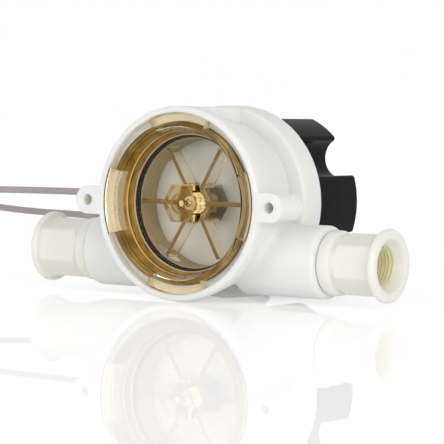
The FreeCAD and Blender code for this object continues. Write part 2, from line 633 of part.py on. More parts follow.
def outside_knob(edge):
    """Whether an edge belongs to the outline of the lobes and scallops."""
    deepest = d.scallop_at.value - d.scallop_r.value
    return all(math.hypot(p.x, p.z) > deepest - 0.05 for p in samples(edge))


# Knob: turned blank, cored from the front, with three pairs of finger scallops
body = new_body("hand_knob")
blank = outline(body, "KnobProfile", "XY_Plane", [
    (0, d.neck_end + d.neck_gap), (d.knob_bore_r, d.neck_end + d.neck_gap), (d.knob_bore_r, d.knob_start),
    (d.knob_core_in, d.knob_start), (d.knob_core_in, d.knob_end - d.knob_back),
    (d.knob_core_out, d.knob_end - d.knob_back), (d.knob_core_out, d.knob_start),
    (d.knob_r, d.knob_start), (d.knob_r, d.knob_end), (d.dish_out_r, d.knob_end),
    (d.dish_in_r, d.knob_end - d.dish_d), (0, d.knob_end - d.dish_d)])
feature(body, "Revolution", "KnobBlank", blank, axis="V_Axis")
grip = sketch_on(body, "Scallops", "XZ_Plane", offset=-(d.knob_end + 1))
for i, (start, away, radius) in enumerate(((d.scallop_first, d.scallop_at, d.scallop_r),
                                           (d.wide_first, d.wide_at, d.wide_r))):
    angle = math.radians(start.value)
    grip.addGeometry(Part.Circle(Vector(away.value * math.cos(angle), away.value * math.sin(angle), 0),
                                 Vector(0, 0, 1), radius.value))
    place_of = grip.addConstraint(Sketcher.Constraint("Radius", i, radius.value))
    grip.setExpression("Constraints[%d]" % place_of, radius.text)
    for axis, turn, amount in (("X", "cos", math.cos(angle)), ("Y", "sin", math.sin(angle))):
        text = "(%s * %s(%s * 1 deg))" % (away.text, turn, start.text)
        hold(grip, axis, i, 3, Size(away.value * amount, text))
cut = feature(body, "Pocket", "ScallopPair", grip, length=d.knob_end - d.knob_start + 2, back=True)
last = repeat(body, "ScallopRing", [cut], size(3))
last = soften(body, "LobeRounds", last, "Fillet", d.lobe_round, lambda e: runs_along(e, "y")
              and abs(math.hypot(e.CenterOfMass.x, e.CenterOfMass.z) - d.knob_r.value) < 0.05)
last = soften(body, "KnobRounds", last, "Fillet", d.knob_round, lambda e: outside_knob(e)
              and (on_plane(e, "y", d.knob_end) or on_plane(e, "y", d.knob_start)))

# Electronics in the bay
body = new_body("circuit_board")
disc = circles(body, "BoardDisc", "XZ_Plane", [(0, 0, d.board_r)], offset=-d.board_y)
feature(body, "Pad", "Board", disc, length=d.board_t, back=True)
primitive("Box", "hall_sensor", {"Length": size(4.2), "Width": size(1.6), "Height": size(3.2)},
          (size(3.2), d.board_y - 1.6, size(-1.6)))
primitive("Cylinder", "board_capacitor", {"Radius": size(3.2), "Height": size(8)},
          (size(-14), d.board_y + d.board_t, size(-9)), ALONG_Y)
primitive("Box", "wire_terminal", {"Length": size(8), "Width": size(9), "Height": size(12)},
          (size(-24.5), d.board_y + d.board_t, size(0)))
primitive("Box", "voltage_regulator", {"Length": size(6.6), "Width": size(2.3), "Height": size(6.2)},
          (size(9), d.board_y + d.board_t, size(-3)))

# Cable gland on the left of the flange
body = new_body("cable_gland")
place(body, 0, d.gland_y, d.gland_z)
gland = outline(body, "GlandProfile", "XY_Plane", [
    (-(d.bay_r - 1), d.cable_r), (-(d.bay_r - 1), d.gland_stem_r), (-d.gland_face, d.gland_stem_r),
    (-d.gland_face, d.gland_r), (-(d.gland_face + d.gland_collar), d.gland_r),
    (-(d.gland_face + d.gland_collar), d.gland_r * 0.76), (-d.gland_tip_x, d.gland_tip_r),
    (-d.gland_tip_x, d.cable_r)])
feature(body, "Revolution", "Gland", gland, axis="H_Axis")
doc.recompute()


def row(x, y, z):
    """A point relative to the axis and front plane, in the row frame."""
    return Vector(x, y + d.front_y.value, z + d.axis_z.value)


def tube(name, points, radius):
    """A round tube along straight runs joined by tangent arcs."""
    corners, pieces, start, length, tightest = [Vector(p) for p in points], [], Vector(points[0]), 0.0, 1e9
    for before, corner, after in zip(corners, corners[1:], corners[2:]):
        into, out = (corner - before), (after - corner)
        turn = into.getAngle(out)
        reach = 0.45 * min(into.Length, out.Length)
        bend = reach / math.tan(turn / 2)
        tightest = min(tightest, bend)
        into.normalize()
        out.normalize()
        first_end, second_end = corner - into * reach, corner + out * reach
        inward = out - into
        inward.normalize()
        centre = corner + inward * (bend / math.cos(turn / 2))
        middle = centre + (corner - centre).normalize() * bend
        pieces.append(Part.LineSegment(start, first_end).toShape())
        pieces.append(Part.Arc(first_end, middle, second_end).toShape())
        start = second_end
    pieces.append(Part.LineSegment(start, corners[-1]).toShape())
    wire = Part.Wire(pieces)
    length = wire.Length
    ahead = corners[1] - corners[0]
    section = Part.Wire([Part.Circle(corners[0], ahead, radius).toShape()])
    solid = wire.makePipeShell([section], True, False)
    made = doc.addObject("Part::Feature", name)
    made.Label = name
    made.Shape = solid
    nodes[name] = made
    print("%s length %.1f tightest bend %.1f volume ratio %.4f" % (
        name, length, tightest, solid.Volume / (math.pi * radius ** 2 * length)))
    return made


cable_r = d.cable_r.value
low = cable_r - d.axis_z.value
gland_spot = (d.gland_y.value, d.gland_z.value)
tube("cable", [
    row(-56, *gland_spot), row(-98, *gland_spot), row(-150, 48.6, 2.2), row(-190, 50.5, 2),
    row(-206, 60, -1), row(-207, 76, -6), row(-193, 86, -9.5), row(-160, 88.5, -12.3), row(-114, 89, -12.6),
    row(-84, 91, -17), row(-58, 95, -29), row(-42, 101.5, -40.5), row(-36.6, 110, low + 1.3),
    row(d.coil_x.value + d.coil_r.value, d.coil_y.value, low)], cable_r)
body = new_body("cable_coil")
place(body, d.coil_x, d.coil_y, -d.axis_z)
turns = circles(body, "CoilRing", "XY_Plane", [
    (0, 0, d.coil_r + d.cable_r * 2), (0, 0, d.coil_r - d.cable_r * 2)])
feature(body, "Pad", "Coil", turns, length=d.cable_r * 6)
coil_top = d.cable_r.value * 5 - d.axis_z.value
north = (d.coil_x.value, d.coil_y.value + d.coil_r.value)
tail_end = (north[0] - 56, north[1] - 0.6, low)
tube("cable_tail", [row(*north, coil_top), row(north[0] - 28, north[1] + 0.8, (coil_top + low) / 2),
                    row(*tail_end)], cable_r)
lead_r = d.lead_r.value
for name, spread in (("lead_plus", -6.0), ("lead_signal", 0.0), ("lead_minus", 6.0)):
    tube(name, [row(tail_end[0], tail_end[1] + 0.14 * spread, low),
                row(tail_end[0] - 11, tail_end[1] + 0.35 * spread, low - 0.4),
                row(tail_end[0] - 24, tail_end[1] + spread, lead_r - d.axis_z.value)], lead_r)
doc.recompute()

os.makedirs("parts", exist_ok=True)
for thing in doc.Objects:
    if "Invalid" in thing.State or "Error" in thing.State:
        raise RuntimeError("%s is %s" % (thing.Name, thing.State))
total = 0
for name, thing in nodes.items():
    shape = thing.Shape
    if shape.isNull() or not shape.isValid():
        raise RuntimeError("%s has no valid shape" % name)
    shape.exportStep("parts/%s.step" % name)
    box = shape.BoundBox
    print("%-18s solids %d vol %9.1f  x %7.1f %7.1f  y %7.1f %7.1f  z %7.1f %7.1f" % (
        name, len(shape.Solids), shape.Volume, box.XMin, box.XMax, box.YMin, box.YMax, box.ZMin, box.ZMax))
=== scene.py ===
"""Looks of a paddle wheel flow sensor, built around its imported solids.

Lengths are metres in the row frame, except where a name ends in _mm. Millimetre places start at the rotor
axis (x and z) and at the front plane of the housing (y), and spot() takes them to the row frame. Angles are
radians, except where a name ends in _degrees.
"""

import logging
import math
from dataclasses import dataclass, field, fields
from enum import Enum, IntEnum
from functools import cache
from typing import Callable, Sequence

import bmesh
import bpy
from mathutils import Matrix, Vector


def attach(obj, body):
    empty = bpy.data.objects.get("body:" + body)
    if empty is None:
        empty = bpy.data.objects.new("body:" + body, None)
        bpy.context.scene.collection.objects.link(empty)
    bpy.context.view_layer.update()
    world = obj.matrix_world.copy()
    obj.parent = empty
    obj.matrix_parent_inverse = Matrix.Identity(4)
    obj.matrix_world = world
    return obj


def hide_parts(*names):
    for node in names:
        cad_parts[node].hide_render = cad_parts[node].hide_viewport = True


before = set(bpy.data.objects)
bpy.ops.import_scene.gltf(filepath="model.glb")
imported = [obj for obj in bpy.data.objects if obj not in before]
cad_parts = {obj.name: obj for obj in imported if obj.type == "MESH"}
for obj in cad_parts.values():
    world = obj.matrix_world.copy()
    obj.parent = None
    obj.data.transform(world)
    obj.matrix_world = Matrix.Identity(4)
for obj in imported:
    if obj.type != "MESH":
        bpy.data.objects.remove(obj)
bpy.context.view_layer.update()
LOG = logging.getLogger("flow_sensor")
MM = 0.001
AXIS_HEIGHT_MM = 47.0
FRONT_PLANE_MM = -46.5
MERGE_DISTANCE = 2e-7
WHITE = (1.0, 1.0, 1.0, 1.0)

Color = tuple[float, float, float]
Pair = tuple[float, float]
RadiusAt = Callable[[float, bool], float]
Material = bpy.types.Material
Mesh = bpy.types.Mesh
Node = bpy.types.Node
NodeTree = bpy.types.NodeTree
Piece = bpy.types.Object
Socket = bpy.types.NodeSocket


class Body(Enum):
    """The rigid bodies that the new pieces ride on."""

    HOUSING = "housing"
    LENS = "lens"
    ROTOR = "rotor"


class Slot(Enum):
    """The record's material slots."""

    LENS = "lens"
    ROTOR = "rotor"
    ADAPTER = "adapter"
    GLAND = "gland"
    CABLE = "cable"
    LEAD_RED = "lead_red"
    LEAD_WHITE = "lead_white"
    LEAD_BLACK = "lead_black"


def spot(x_mm: float, y_mm: float, z_mm: float) -> Vector:
    """A place relative to the rotor axis and the front plane, in the row frame."""
    return Vector((x_mm, y_mm + FRONT_PLANE_MM, z_mm + AXIS_HEIGHT_MM)) * MM


def rgba(color: Color) -> tuple[float, float, float, float]:
    """A colour with full alpha."""
    return (*color, 1.0)


def stops(first: float, last: float, steps: int) -> list[float]:
    """Numbers spread evenly from first to last."""
    return [first + (last - first) * i / steps for i in range(steps + 1)]


class NodeSheet:
    """Adds and joins the nodes of one tree."""

    def __init__(self, tree: NodeTree) -> None:
        """Start on a tree."""
        self.tree = tree

    def add(self, kind: str, inputs: dict | None = None, **settings: object) -> Node:
        """Add one node.

        Args:
            kind: Blender's type name of the node.
            inputs: values or output sockets for the node's inputs, by name or place.
            settings: the node's own properties.

        Returns:
            The new node.
        """
        node = self.tree.nodes.new(kind)
        for name, value in settings.items():
            setattr(node, name, value)
        for name, value in (inputs or {}).items():
            if isinstance(value, Socket):
                self.tree.links.new(value, node.inputs[name])
            else:
                node.inputs[name].default_value = value
        return node

    def math(self, operation: str, first: object, second: object = 0.0) -> Socket:
        """A Math node's output."""
        return self.add("ShaderNodeMath", {0: first, 1: second}, operation=operation).outputs[0]

    def middle(self, first: object, second: object) -> Socket:
        """The mean of two numbers."""
        return self.math("MULTIPLY", self.math("ADD", first, second), 0.5)

    def on_the_way(self, share: Socket, first: Socket, last: Socket) -> Socket:
        """A number at a share of the way from first to last."""
        return self.math("ADD", first, self.math("MULTIPLY", share, self.math("SUBTRACT", last, first)))

    def away(self, across: object, upward: object) -> Socket:
        """The distance from an axis, by its two legs."""
        squares = [self.math("POWER", leg, 2.0) for leg in (across, upward)]
        return self.math("SQRT", self.math("ADD", *squares))

    def within(self, value: Socket, low: object, high: object) -> Socket:
        """1 where a value lies between two limits."""
        above = self.math("GREATER_THAN", value, low)
        return self.math("MULTIPLY", above, self.math("LESS_THAN", value, high))

    def vector(self, x: object = 0.0, y: object = 0.0, z: object = 0.0) -> Socket:
        """A vector from three numbers."""
        return self.add("ShaderNodeCombineXYZ", {0: x, 1: y, 2: z}).outputs[0]

    def parts(self, vector: Socket) -> Sequence[Socket]:
        """The three numbers of a vector."""
        return self.add("ShaderNodeSeparateXYZ", {0: vector}).outputs

    def place(self) -> Socket:
        """Object coordinates."""
        return self.add("ShaderNodeTexCoord").outputs["Object"]

    def noise(self, place: Socket, scale: object, detail: float, roughness: float = 0.5) -> Socket:
        """Noise from 0 to 1."""
        inputs = {"Vector": place, "Scale": scale, "Detail": detail, "Roughness": roughness}
        return self.add("ShaderNodeTexNoise", inputs).outputs["Fac"]

    def spread(self, value: Socket, source: tuple = (0.0, 1.0), target: tuple = (0.0, 1.0)) -> Socket:
        """A value taken from one range to another."""
        inputs = zip(("Value", "From Min", "From Max", "To Min", "To Max"), (value, *source, *target))
        return self.add("ShaderNodeMapRange", dict(inputs)).outputs[0]

    def blend(self, share: Socket, first: object, second: object) -> Socket:
        """Two colours mixed by a share."""
        return self.add("ShaderNodeMix", {0: share, 6: first, 7: second}, data_type="RGBA").outputs[2]

    def group(self, tree: NodeTree, values: dict[str, float]) -> Node:
        """A shared group with its own values."""
        return self.add("ShaderNodeGroup", values, node_tree=tree)

    def moved(self, geometry: Socket, by: object, turned: object = (0.0, 0.0, 0.0)) -> Socket:
        """Geometry turned and moved."""
        inputs = {"Geometry": geometry, "Translation": by, "Rotation": turned}
        return self.add("GeometryNodeTransform", inputs).outputs[0]

    def painted(self, geometry: Socket, material: Socket, where: object = True) -> Socket:
        """Geometry with a finish on some of its faces."""
        inputs = {"Geometry": geometry, "Selection": where, "Material": material}
        return self.add("GeometryNodeSetMaterial", inputs).outputs[0]


class ShaderGroups:
    """Effects that several finishes share, each built once."""

    @staticmethod
    def _start(name: str, inputs: dict[str, float],
               outputs: Sequence[str]) -> tuple[NodeSheet, dict[str, Socket]]:
        """Open a new group.

        Args:
            name: the group's name.
            inputs: names and defaults of its number inputs.
            outputs: names of its number outputs.

        Returns:
            A sheet for its nodes, and its inputs by name.
        """
        tree = bpy.data.node_groups.new(name, "ShaderNodeTree")
        for label, default in inputs.items():
            socket = tree.interface.new_socket(label, in_out="INPUT", socket_type="NodeSocketFloat")
            socket.default_value = default
        for label in outputs:
            tree.interface.new_socket(label, in_out="OUTPUT", socket_type="NodeSocketFloat")
        sheet = NodeSheet(tree)
        return sheet, {socket.name: socket for socket in sheet.add("NodeGroupInput").outputs if socket.name}

    @staticmethod
    @cache
    def moulded_skin() -> NodeTree:
        """Fine mould texture, slow mottling and an uneven sheen.

        Returns:
            The group, which puts out a height, a roughness and a mottling mask.
        """
        sheet, given = ShaderGroups._start("moulded skin", {
            "Grain Scale": 2200.0, "Mottle Scale": 40.0, "Rough Low": 0.35, "Rough High": 0.5},
            ("Height", "Roughness", "Mottle"))
        place = sheet.place()
        grain = sheet.noise(place, given["Grain Scale"], detail=3.0, roughness=0.6)
        mottle = sheet.spread(sheet.noise(place, given["Mottle Scale"], detail=4.0), source=(0.3, 0.7))
        tone = sheet.spread(sheet.middle(grain, mottle), target=(given["Rough Low"], given["Rough High"]))
        sheet.add("NodeGroupOutput", {"Height": grain, "Roughness": tone, "Mottle": mottle})
        return sheet.tree

    @staticmethod
    @cache
    def handling() -> NodeTree:
        """A thin scatter of dust specks and rubbed patches.

        Returns:
            The group, which puts out a mask of the dust.
        """
        sheet, given = ShaderGroups._start("handling", {
            "Speck Scale": 900.0, "Patch Scale": 60.0, "Patch Dust": 0.35, "Amount": 0.5}, ("Dust",))
        place = sheet.place()
        specks = sheet.add("ShaderNodeTexVoronoi", {"Vector": place, "Scale": given["Speck Scale"]})
        dots = sheet.spread(specks.outputs["Distance"], source=(0.22, 0.06))
        patches = sheet.noise(place, given["Patch Scale"], detail=5.0, roughness=0.65)
        worn = sheet.spread(patches, source=(0.5, 0.75))
        dust = sheet.math("MULTIPLY", worn, sheet.math("ADD", dots, given["Patch Dust"]))
        sheet.add("NodeGroupOutput", {"Dust": sheet.math("MULTIPLY", dust, given["Amount"])})
        return sheet.tree

    @staticmethod
    @cache
    def round_zone() -> NodeTree:
        """What lies in a round stretch along Y.

        Returns:
            The group, which puts out a mask of the stretch.
        """
        sheet, given = ShaderGroups._start("round zone", {
            "X": 0.0, "Z": 0.0, "Inner": 0.0, "Outer": 1.0, "Start": 0.0, "Stop": 1.0}, ("Mask",))
        x, y, z = sheet.parts(sheet.place())
        away = sheet.away(sheet.math("SUBTRACT", x, given["X"]), sheet.math("SUBTRACT", z, given["Z"]))
        ring = sheet.within(away, given["Inner"], given["Outer"])
        stretch = sheet.within(y, given["Start"], given["Stop"])
        sheet.add("NodeGroupOutput", {"Mask": sheet.math("MULTIPLY", ring, stretch)})
        return sheet.tree


def new_material(name: str) -> tuple[Material, NodeSheet]:
    """Start an empty material.

    Args:
        name: the material's name.

    Returns:
        The material, and a sheet for its nodes.
    """
    made = bpy.data.materials.new(name)
    made.use_nodes = True
    made.node_tree.nodes.clear()
    return made, NodeSheet(made.node_tree)


def skin_of(sheet: NodeSheet, grain_scale: float, mottle_scale: float, rough: Pair) -> Node:
    """The moulded skin with a finish's own values."""
    return sheet.group(ShaderGroups.moulded_skin(), {
        "Grain Scale": grain_scale, "Mottle Scale": mottle_scale,
        "Rough Low": rough[0], "Rough High": rough[1]})


@dataclass(frozen=True)
class Zone:
    """A round stretch of a piece, along Y about the rotor axis, with a colour laid over it: a tint, or
    painted light or shade.
    """

    color: Color
    outer_mm: float
    start_mm: float
    stop_mm: float
    inner_mm: float = 0.0

    def over(self, sheet: NodeSheet, color: object) -> Socket:
        """Lay the zone's colour over another one.

        Args:
            sheet: the material's nodes.
            color: the colour outside the zone, a value or a socket.

        Returns:
            The colour with the zone in it.
        """
        axis = spot(0.0, 0.0, 0.0)
        mask = sheet.group(ShaderGroups.round_zone(), {
            "X": axis.x, "Z": axis.z, "Inner": self.inner_mm * MM, "Outer": self.outer_mm * MM,
            "Start": spot(0.0, self.start_mm, 0.0).y, "Stop": spot(0.0, self.stop_mm, 0.0).y})
        return sheet.blend(mask.outputs["Mask"], color, rgba(self.color))


@dataclass(frozen=True)
class MouldedFinish:
    """Opaque plastic or rubber with a mould texture, and also the opaque stand-ins with painted light or
    shade on clear amber.
    """

    name: str
    color: Color
    shade: Color
    rough: Pair = (0.34, 0.48)
    grain_scale: float = 2200.0
    grain_height_mm: float = 0.012
    mottle_scale: float = 40.0
    dust: float = 0.0
    dust_color: Color = (0.5, 0.49, 0.47)
    coat: float = 0.0
    coat_rough: float = 0.08
    specular: float = 0.5
    glow: float = 0.0
    glow_mm: float = 2.5
    glow_reach: Color = (1.0, 0.86, 0.6)
    zones: tuple[Zone, ...] = ()

    @cache
    def material(self) -> Material:
        """Make the finish once.

        Returns:
            Its material.
        """
        made, sheet = new_material(self.name)
        skin = skin_of(sheet, self.grain_scale, self.mottle_scale, self.rough)
        color = sheet.blend(skin.outputs["Mottle"], rgba(self.shade), rgba(self.color))
        for zone in self.zones:
            color = zone.over(sheet, color)
        if self.dust > 0.0:
            marks = sheet.group(ShaderGroups.handling(), {"Amount": self.dust})
            color = sheet.blend(marks.outputs["Dust"], color, rgba(self.dust_color))
        bump = sheet.add("ShaderNodeBump", {
            "Height": skin.outputs["Height"], "Distance": self.grain_height_mm * MM})
        shader = sheet.add("ShaderNodeBsdfPrincipled", {
            "Base Color": color, "Roughness": skin.outputs["Roughness"], "Normal": bump.outputs[0],
            "Coat Weight": self.coat, "Coat Roughness": self.coat_rough, "Specular IOR Level": self.specular,
            "Subsurface Weight": self.glow, "Subsurface Radius": self.glow_reach,
            "Subsurface Scale": self.glow_mm * MM})
        sheet.add("ShaderNodeOutputMaterial", {"Surface": shader.outputs[0]})
        return made


@dataclass(frozen=True)
class ClearFinish:
    """Clear plastic that takes its colour from the way light travels inside it."""

    name: str
    loss_per_mm: Color
    rough: Pair = (0.01, 0.035)
    grain_scale: float = 500.0
    mottle_scale: float = 90.0
    ior: float = 1.5
    mirror: Color = (0.3, 0.3, 0.3)
    zones: tuple[Zone, ...] = ()

    @cache
    def material(self) -> Material:
        """Make the finish once. It lets the lamps' light through, so that it throws no black shadow.

        Returns:
            Its material.
        """
        made, sheet = new_material(self.name)
        skin = skin_of(sheet, self.grain_scale, self.mottle_scale, self.rough)
        color = WHITE
        for zone in self.zones:
            color = zone.over(sheet, color)
        shader = sheet.add("ShaderNodeBsdfPrincipled", {
            "Base Color": color, "Roughness": skin.outputs["Roughness"], "IOR": self.ior,
            "Transmission Weight": 1.0, "Specular Tint": rgba(self.mirror)})
        lamps = sheet.add("ShaderNodeBsdfTransparent", {"Color": WHITE})
        path = sheet.add("ShaderNodeLightPath")
        mixed = sheet.add("ShaderNodeMixShader", {
            0: path.outputs["Is Shadow Ray"], 1: shader.outputs[0], 2: lamps.outputs[0]})
        most = max(self.loss_per_mm)
        kept = tuple(1.0 - loss / most for loss in self.loss_per_mm)
        depth = sheet.add("ShaderNodeVolumeAbsorption", {"Color": rgba(kept), "Density": most / MM})
        sheet.add("ShaderNodeOutputMaterial", {"Surface": mixed.outputs[0], "Volume": depth.outputs[0]})
        return made


@dataclass(frozen=True)
class MetalFinish:
    """Bare metal with fine drawn lines."""

    name: str
    color: Color
    rough: Pair = (0.2, 0.36)
    line_scale: tuple[float, float, float] = (3000.0, 60.0, 3000.0)
    line_height_mm: float = 0.004

    @cache
    def material(self) -> Material:
        """Make the finish once.

        Returns:
            Its material.
        """
        made, sheet = new_material(self.name)
        drawn = sheet.add("ShaderNodeMapping", {"Vector": sheet.place(), "Scale": self.line_scale})
        lines = sheet.noise(drawn.outputs[0], scale=1.0, detail=2.0)
        bump = sheet.add("ShaderNodeBump", {"Height": lines, "Distance": self.line_height_mm * MM})
        shader = sheet.add("ShaderNodeBsdfPrincipled", {
            "Base Color": rgba(self.color), "Metallic": 1.0, "Normal": bump.outputs[0],
            "Roughness": sheet.spread(lines, target=self.rough)})
        sheet.add("ShaderNodeOutputMaterial", {"Surface": shader.outputs[0]})
        return made


# Painted shade: olive amber on the white chamber wall, for the dim amber light that the lens lets in there.
CHAMBER_WALL_PAINTED_SHADE = Zone((0.4, 0.31, 0.15), outer_mm=31.9, start_mm=14.5, stop_mm=31.4, inner_mm=30.9)
# Painted shade: the white floor of the chamber greyed and cooled, for the shade deep behind the amber window.
CHAMBER_BACK_PAINTED_SHADE = Zone((0.68, 0.685, 0.71), outer_mm=31.9, start_mm=31.4, stop_mm=32.2)
LENS_NOSE = Zone((0.93, 0.82, 0.6), outer_mm=11.0, start_mm=2.0, stop_mm=10.9)
LENS_LUGS = Zone((0.9, 0.85, 0.74), outer_mm=43.6, start_mm=-0.5, stop_mm=5.0, inner_mm=37.0)
# Painted highlight: a bright gold band round the outside of the cup near its rear.
FOOT_PAINTED_HIGHLIGHT = Zone((0.95, 0.78, 0.4), outer_mm=39.6, start_mm=11.3, stop_mm=12.5, inner_mm=38.5)
# Painted shade: a dark line just behind that band.
FOOT_PAINTED_SHADE = Zone((0.12, 0.06, 0.01), outer_mm=39.6, start_mm=12.5, stop_mm=13.2, inner_mm=38.5)
# Painted shade: a dark brown band round the cup just behind the lugs.
LIP_PAINTED_SHADE = Zone((0.22, 0.125, 0.025), outer_mm=39.6, start_mm=4.7, stop_mm=6.0, inner_mm=38.5)


class Finish(Enum):
    """Every finish of the sensor."""

    # The housing's two zones paint shade into its chamber.
    HOUSING = MouldedFinish("white housing", (0.88, 0.88, 0.855), (0.85, 0.85, 0.82), rough=(0.38, 0.5),
                            glow=0.8, glow_mm=5.0, zones=(CHAMBER_WALL_PAINTED_SHADE, CHAMBER_BACK_PAINTED_SHADE))
    ADAPTER = MouldedFinish("ivory adapter", (0.88, 0.862, 0.80), (0.85, 0.83, 0.755), rough=(0.32, 0.45),
                            glow=0.5, glow_mm=5.0)
    # Painted light: a yellower, brighter copy of the ivory on the bore and thread, for light shining through
    # the wall.
    BORE = MouldedFinish("ivory bore", (0.93, 0.85, 0.61), (0.9, 0.81, 0.55), rough=(0.3, 0.42),
                         glow=0.9, glow_mm=6.0)
    LENS = ClearFinish("amber lens", (0.004, 0.012, 0.033), zones=(LENS_NOSE, LENS_LUGS))
    # Painted shade: opaque deep amber on the outside of the clear cup and on the nose's edges, for the dim
    # light seen through the amber; its mottle paints refraction patterns.
    FROST = MouldedFinish("frosted amber", (0.58, 0.39, 0.11), (0.23, 0.135, 0.024), rough=(0.3, 0.5),
                          grain_scale=1200.0, grain_height_mm=0.02, mottle_scale=130.0,
                          glow=0.3, glow_mm=2.0, zones=(FOOT_PAINTED_HIGHLIGHT, FOOT_PAINTED_SHADE, LIP_PAINTED_SHADE))
    # Painted light: a lit, paler copy of the amber behind the lugs and in a ring on the rear face, for light
    # seen through the clear amber.
    PALE = MouldedFinish("pale amber", (0.66, 0.585, 0.43), (0.57, 0.49, 0.34), rough=(0.3, 0.45),
                         grain_height_mm=0.004)
    # Painted highlight: opaque pale amber on the ends of the clear lugs, for the bright lines that they show.
    LUG_END = MouldedFinish("amber lug end", (0.78, 0.68, 0.48), (0.74, 0.63, 0.42), rough=(0.2, 0.3),
                            grain_height_mm=0.004)
    WHEEL = ClearFinish("amber wheel", (0.008, 0.026, 0.08), ior=1.18)
    # Painted shade: opaque dark amber on the front faces of the clear blades, for the deep colour seen along
    # them.
    BLADE_EDGE = MouldedFinish("amber blade edge", (0.23, 0.135, 0.01), (0.14, 0.08, 0.006), rough=(0.3, 0.4),
                               grain_height_mm=0.004, specular=0.12)
    # Painted light: opaque bright gold in the hub's recess, for the light that glows inside the clear amber
    # hub.
    HUB = MouldedFinish("amber hub", (0.43, 0.3, 0.1), (0.36, 0.245, 0.075), rough=(0.32, 0.45),
                        grain_height_mm=0.004, specular=0.15)
    KNOB = MouldedFinish("black knob", (0.012, 0.012, 0.013), (0.017, 0.017, 0.018), rough=(0.14, 0.24),
                         grain_scale=1500.0, grain_height_mm=0.006, specular=0.02)
    # Painted light: a brown cast in the black, for the amber light through the lens in front of the lens
    # seal.
    SEAL = MouldedFinish("black seal", (0.017, 0.008, 0.003), (0.009, 0.0042, 0.0018), rough=(0.4, 0.6),
                         specular=0.03)
    STEEL = MetalFinish("ground pin", (0.62, 0.61, 0.59))
    COPPER = MetalFinish("tinned copper", (0.72, 0.46, 0.3), line_scale=(60.0, 3000.0, 3000.0))
    # Painted light: brown in the ferrite, for the amber light through the wheel in front of it; its dust is
    # real.
    MAGNET = MouldedFinish("ferrite", (0.14, 0.088, 0.03), (0.095, 0.06, 0.02), rough=(0.5, 0.7), dust=0.1)
    BUSH = MouldedFinish("bearing plastic", (0.72, 0.66, 0.52), (0.66, 0.6, 0.46))
    BOARD = MouldedFinish("laminate", (0.03, 0.2, 0.09), (0.02, 0.15, 0.065), grain_scale=900.0, coat=0.4)
    CHIP = MouldedFinish("epoxy", (0.03, 0.03, 0.032), (0.02, 0.02, 0.021), dust=0.1)
    TERMINAL = MouldedFinish("pale moulding", (0.74, 0.72, 0.62), (0.68, 0.66, 0.56))
    GLAND = MouldedFinish("grey strain relief", (0.2, 0.185, 0.18), (0.16, 0.15, 0.148), rough=(0.42, 0.6),
                          dust=0.1)
    CABLE = MouldedFinish("grey sheath", (0.43, 0.39, 0.385), (0.37, 0.335, 0.33), rough=(0.36, 0.52),
                          grain_scale=1400.0, dust=0.08)
    LEAD_RED = MouldedFinish("red insulation", (0.5, 0.03, 0.025), (0.42, 0.025, 0.02))
    LEAD_WHITE = MouldedFinish("white insulation", (0.8, 0.8, 0.77), (0.72, 0.72, 0.69))
    LEAD_BLACK = MouldedFinish("black insulation", (0.015, 0.015, 0.016), (0.025, 0.025, 0.026))

    @property
    def material(self) -> Material:
        """The finish as a material."""
        return self.value.material()


def dress(finish: Finish, *nodes: str) -> None:
    """Give CAD nodes their finish.

    Args:
        finish: the finish that they share.
        nodes: their names.
    """
    for node in nodes:
        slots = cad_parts[node].data.materials
        slots.clear()
        slots.append(finish.material)
        LOG.info("%s keeps its solid, in %s", node, finish.material.name)


def place_in_scene(name: str, data: bpy.types.ID) -> Piece:
    """Link a new object at the origin.

    Args:
        name: the object's name.
        data: its mesh, curve, lamp or camera.

    Returns:
        The new object.
    """
    placed = bpy.data.objects.new(name, data)
    bpy.context.scene.collection.objects.link(placed)
    return placed


def new_piece(name: str, mesh: Mesh, finishes: Sequence[Finish] = (), crease_degrees: float = 34.0) -> Piece:
    """Link a finished mesh as a piece with smooth shading.

    Args:
        name: the piece's name.
        mesh: its mesh, in the row frame.
        finishes: its finishes, or none where the mesh already has them.
        crease_degrees: edges sharper than this stay sharp.

    Returns:
        The new object, at the origin.
    """
    mesh.name = name
    for finish in finishes:
        mesh.materials.append(finish.material)
    mesh.polygons.foreach_set("use_smooth", [True] * len(mesh.polygons))
    mesh.set_sharp_from_angle(angle=math.radians(crease_degrees))
    return place_in_scene(name, mesh)


def settle(piece: Piece, body: Body, stands_for: Sequence[str] = ()) -> Piece:
    """Fix a finished piece to its body.

    Args:
        piece: the piece, in place.
        body: the body that it moves with.
        stands_for: CAD nodes that it replaces.

    Returns:
        The piece.
    """
    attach(piece, body.value)
    if stands_for:
        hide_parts(*stands_for)
    LOG.info("%s rides on %s", piece.name, body.value)
    return piece


def solid_mesh(sheet: bmesh.types.BMesh) -> Mesh:
    """Close and clean a bmesh, with its faces outwards.

    Args:
        sheet: the bmesh, which is freed.

    Returns:
        The clean mesh.
    """
    bmesh.ops.remove_doubles(sheet, verts=sheet.verts, dist=MERGE_DISTANCE)
    bmesh.ops.dissolve_degenerate(sheet, edges=sheet.edges, dist=MERGE_DISTANCE)
    bmesh.ops.recalc_face_normals(sheet, faces=sheet.faces)
    mesh = bpy.data.meshes.new("piece")
    sheet.to_mesh(mesh)
    sheet.free()
    return mesh


def evaluated_mesh(holder: Piece) -> Mesh:
    """Turn what an object's modifiers make into a plain mesh.

    Args:
        holder: the object, which is removed.

    Returns:
        The plain mesh.
    """
    graph = bpy.context.evaluated_depsgraph_get()
    mesh = bpy.data.meshes.new_from_object(holder.evaluated_get(graph), depsgraph=graph)
    bpy.data.objects.remove(holder)
    return mesh


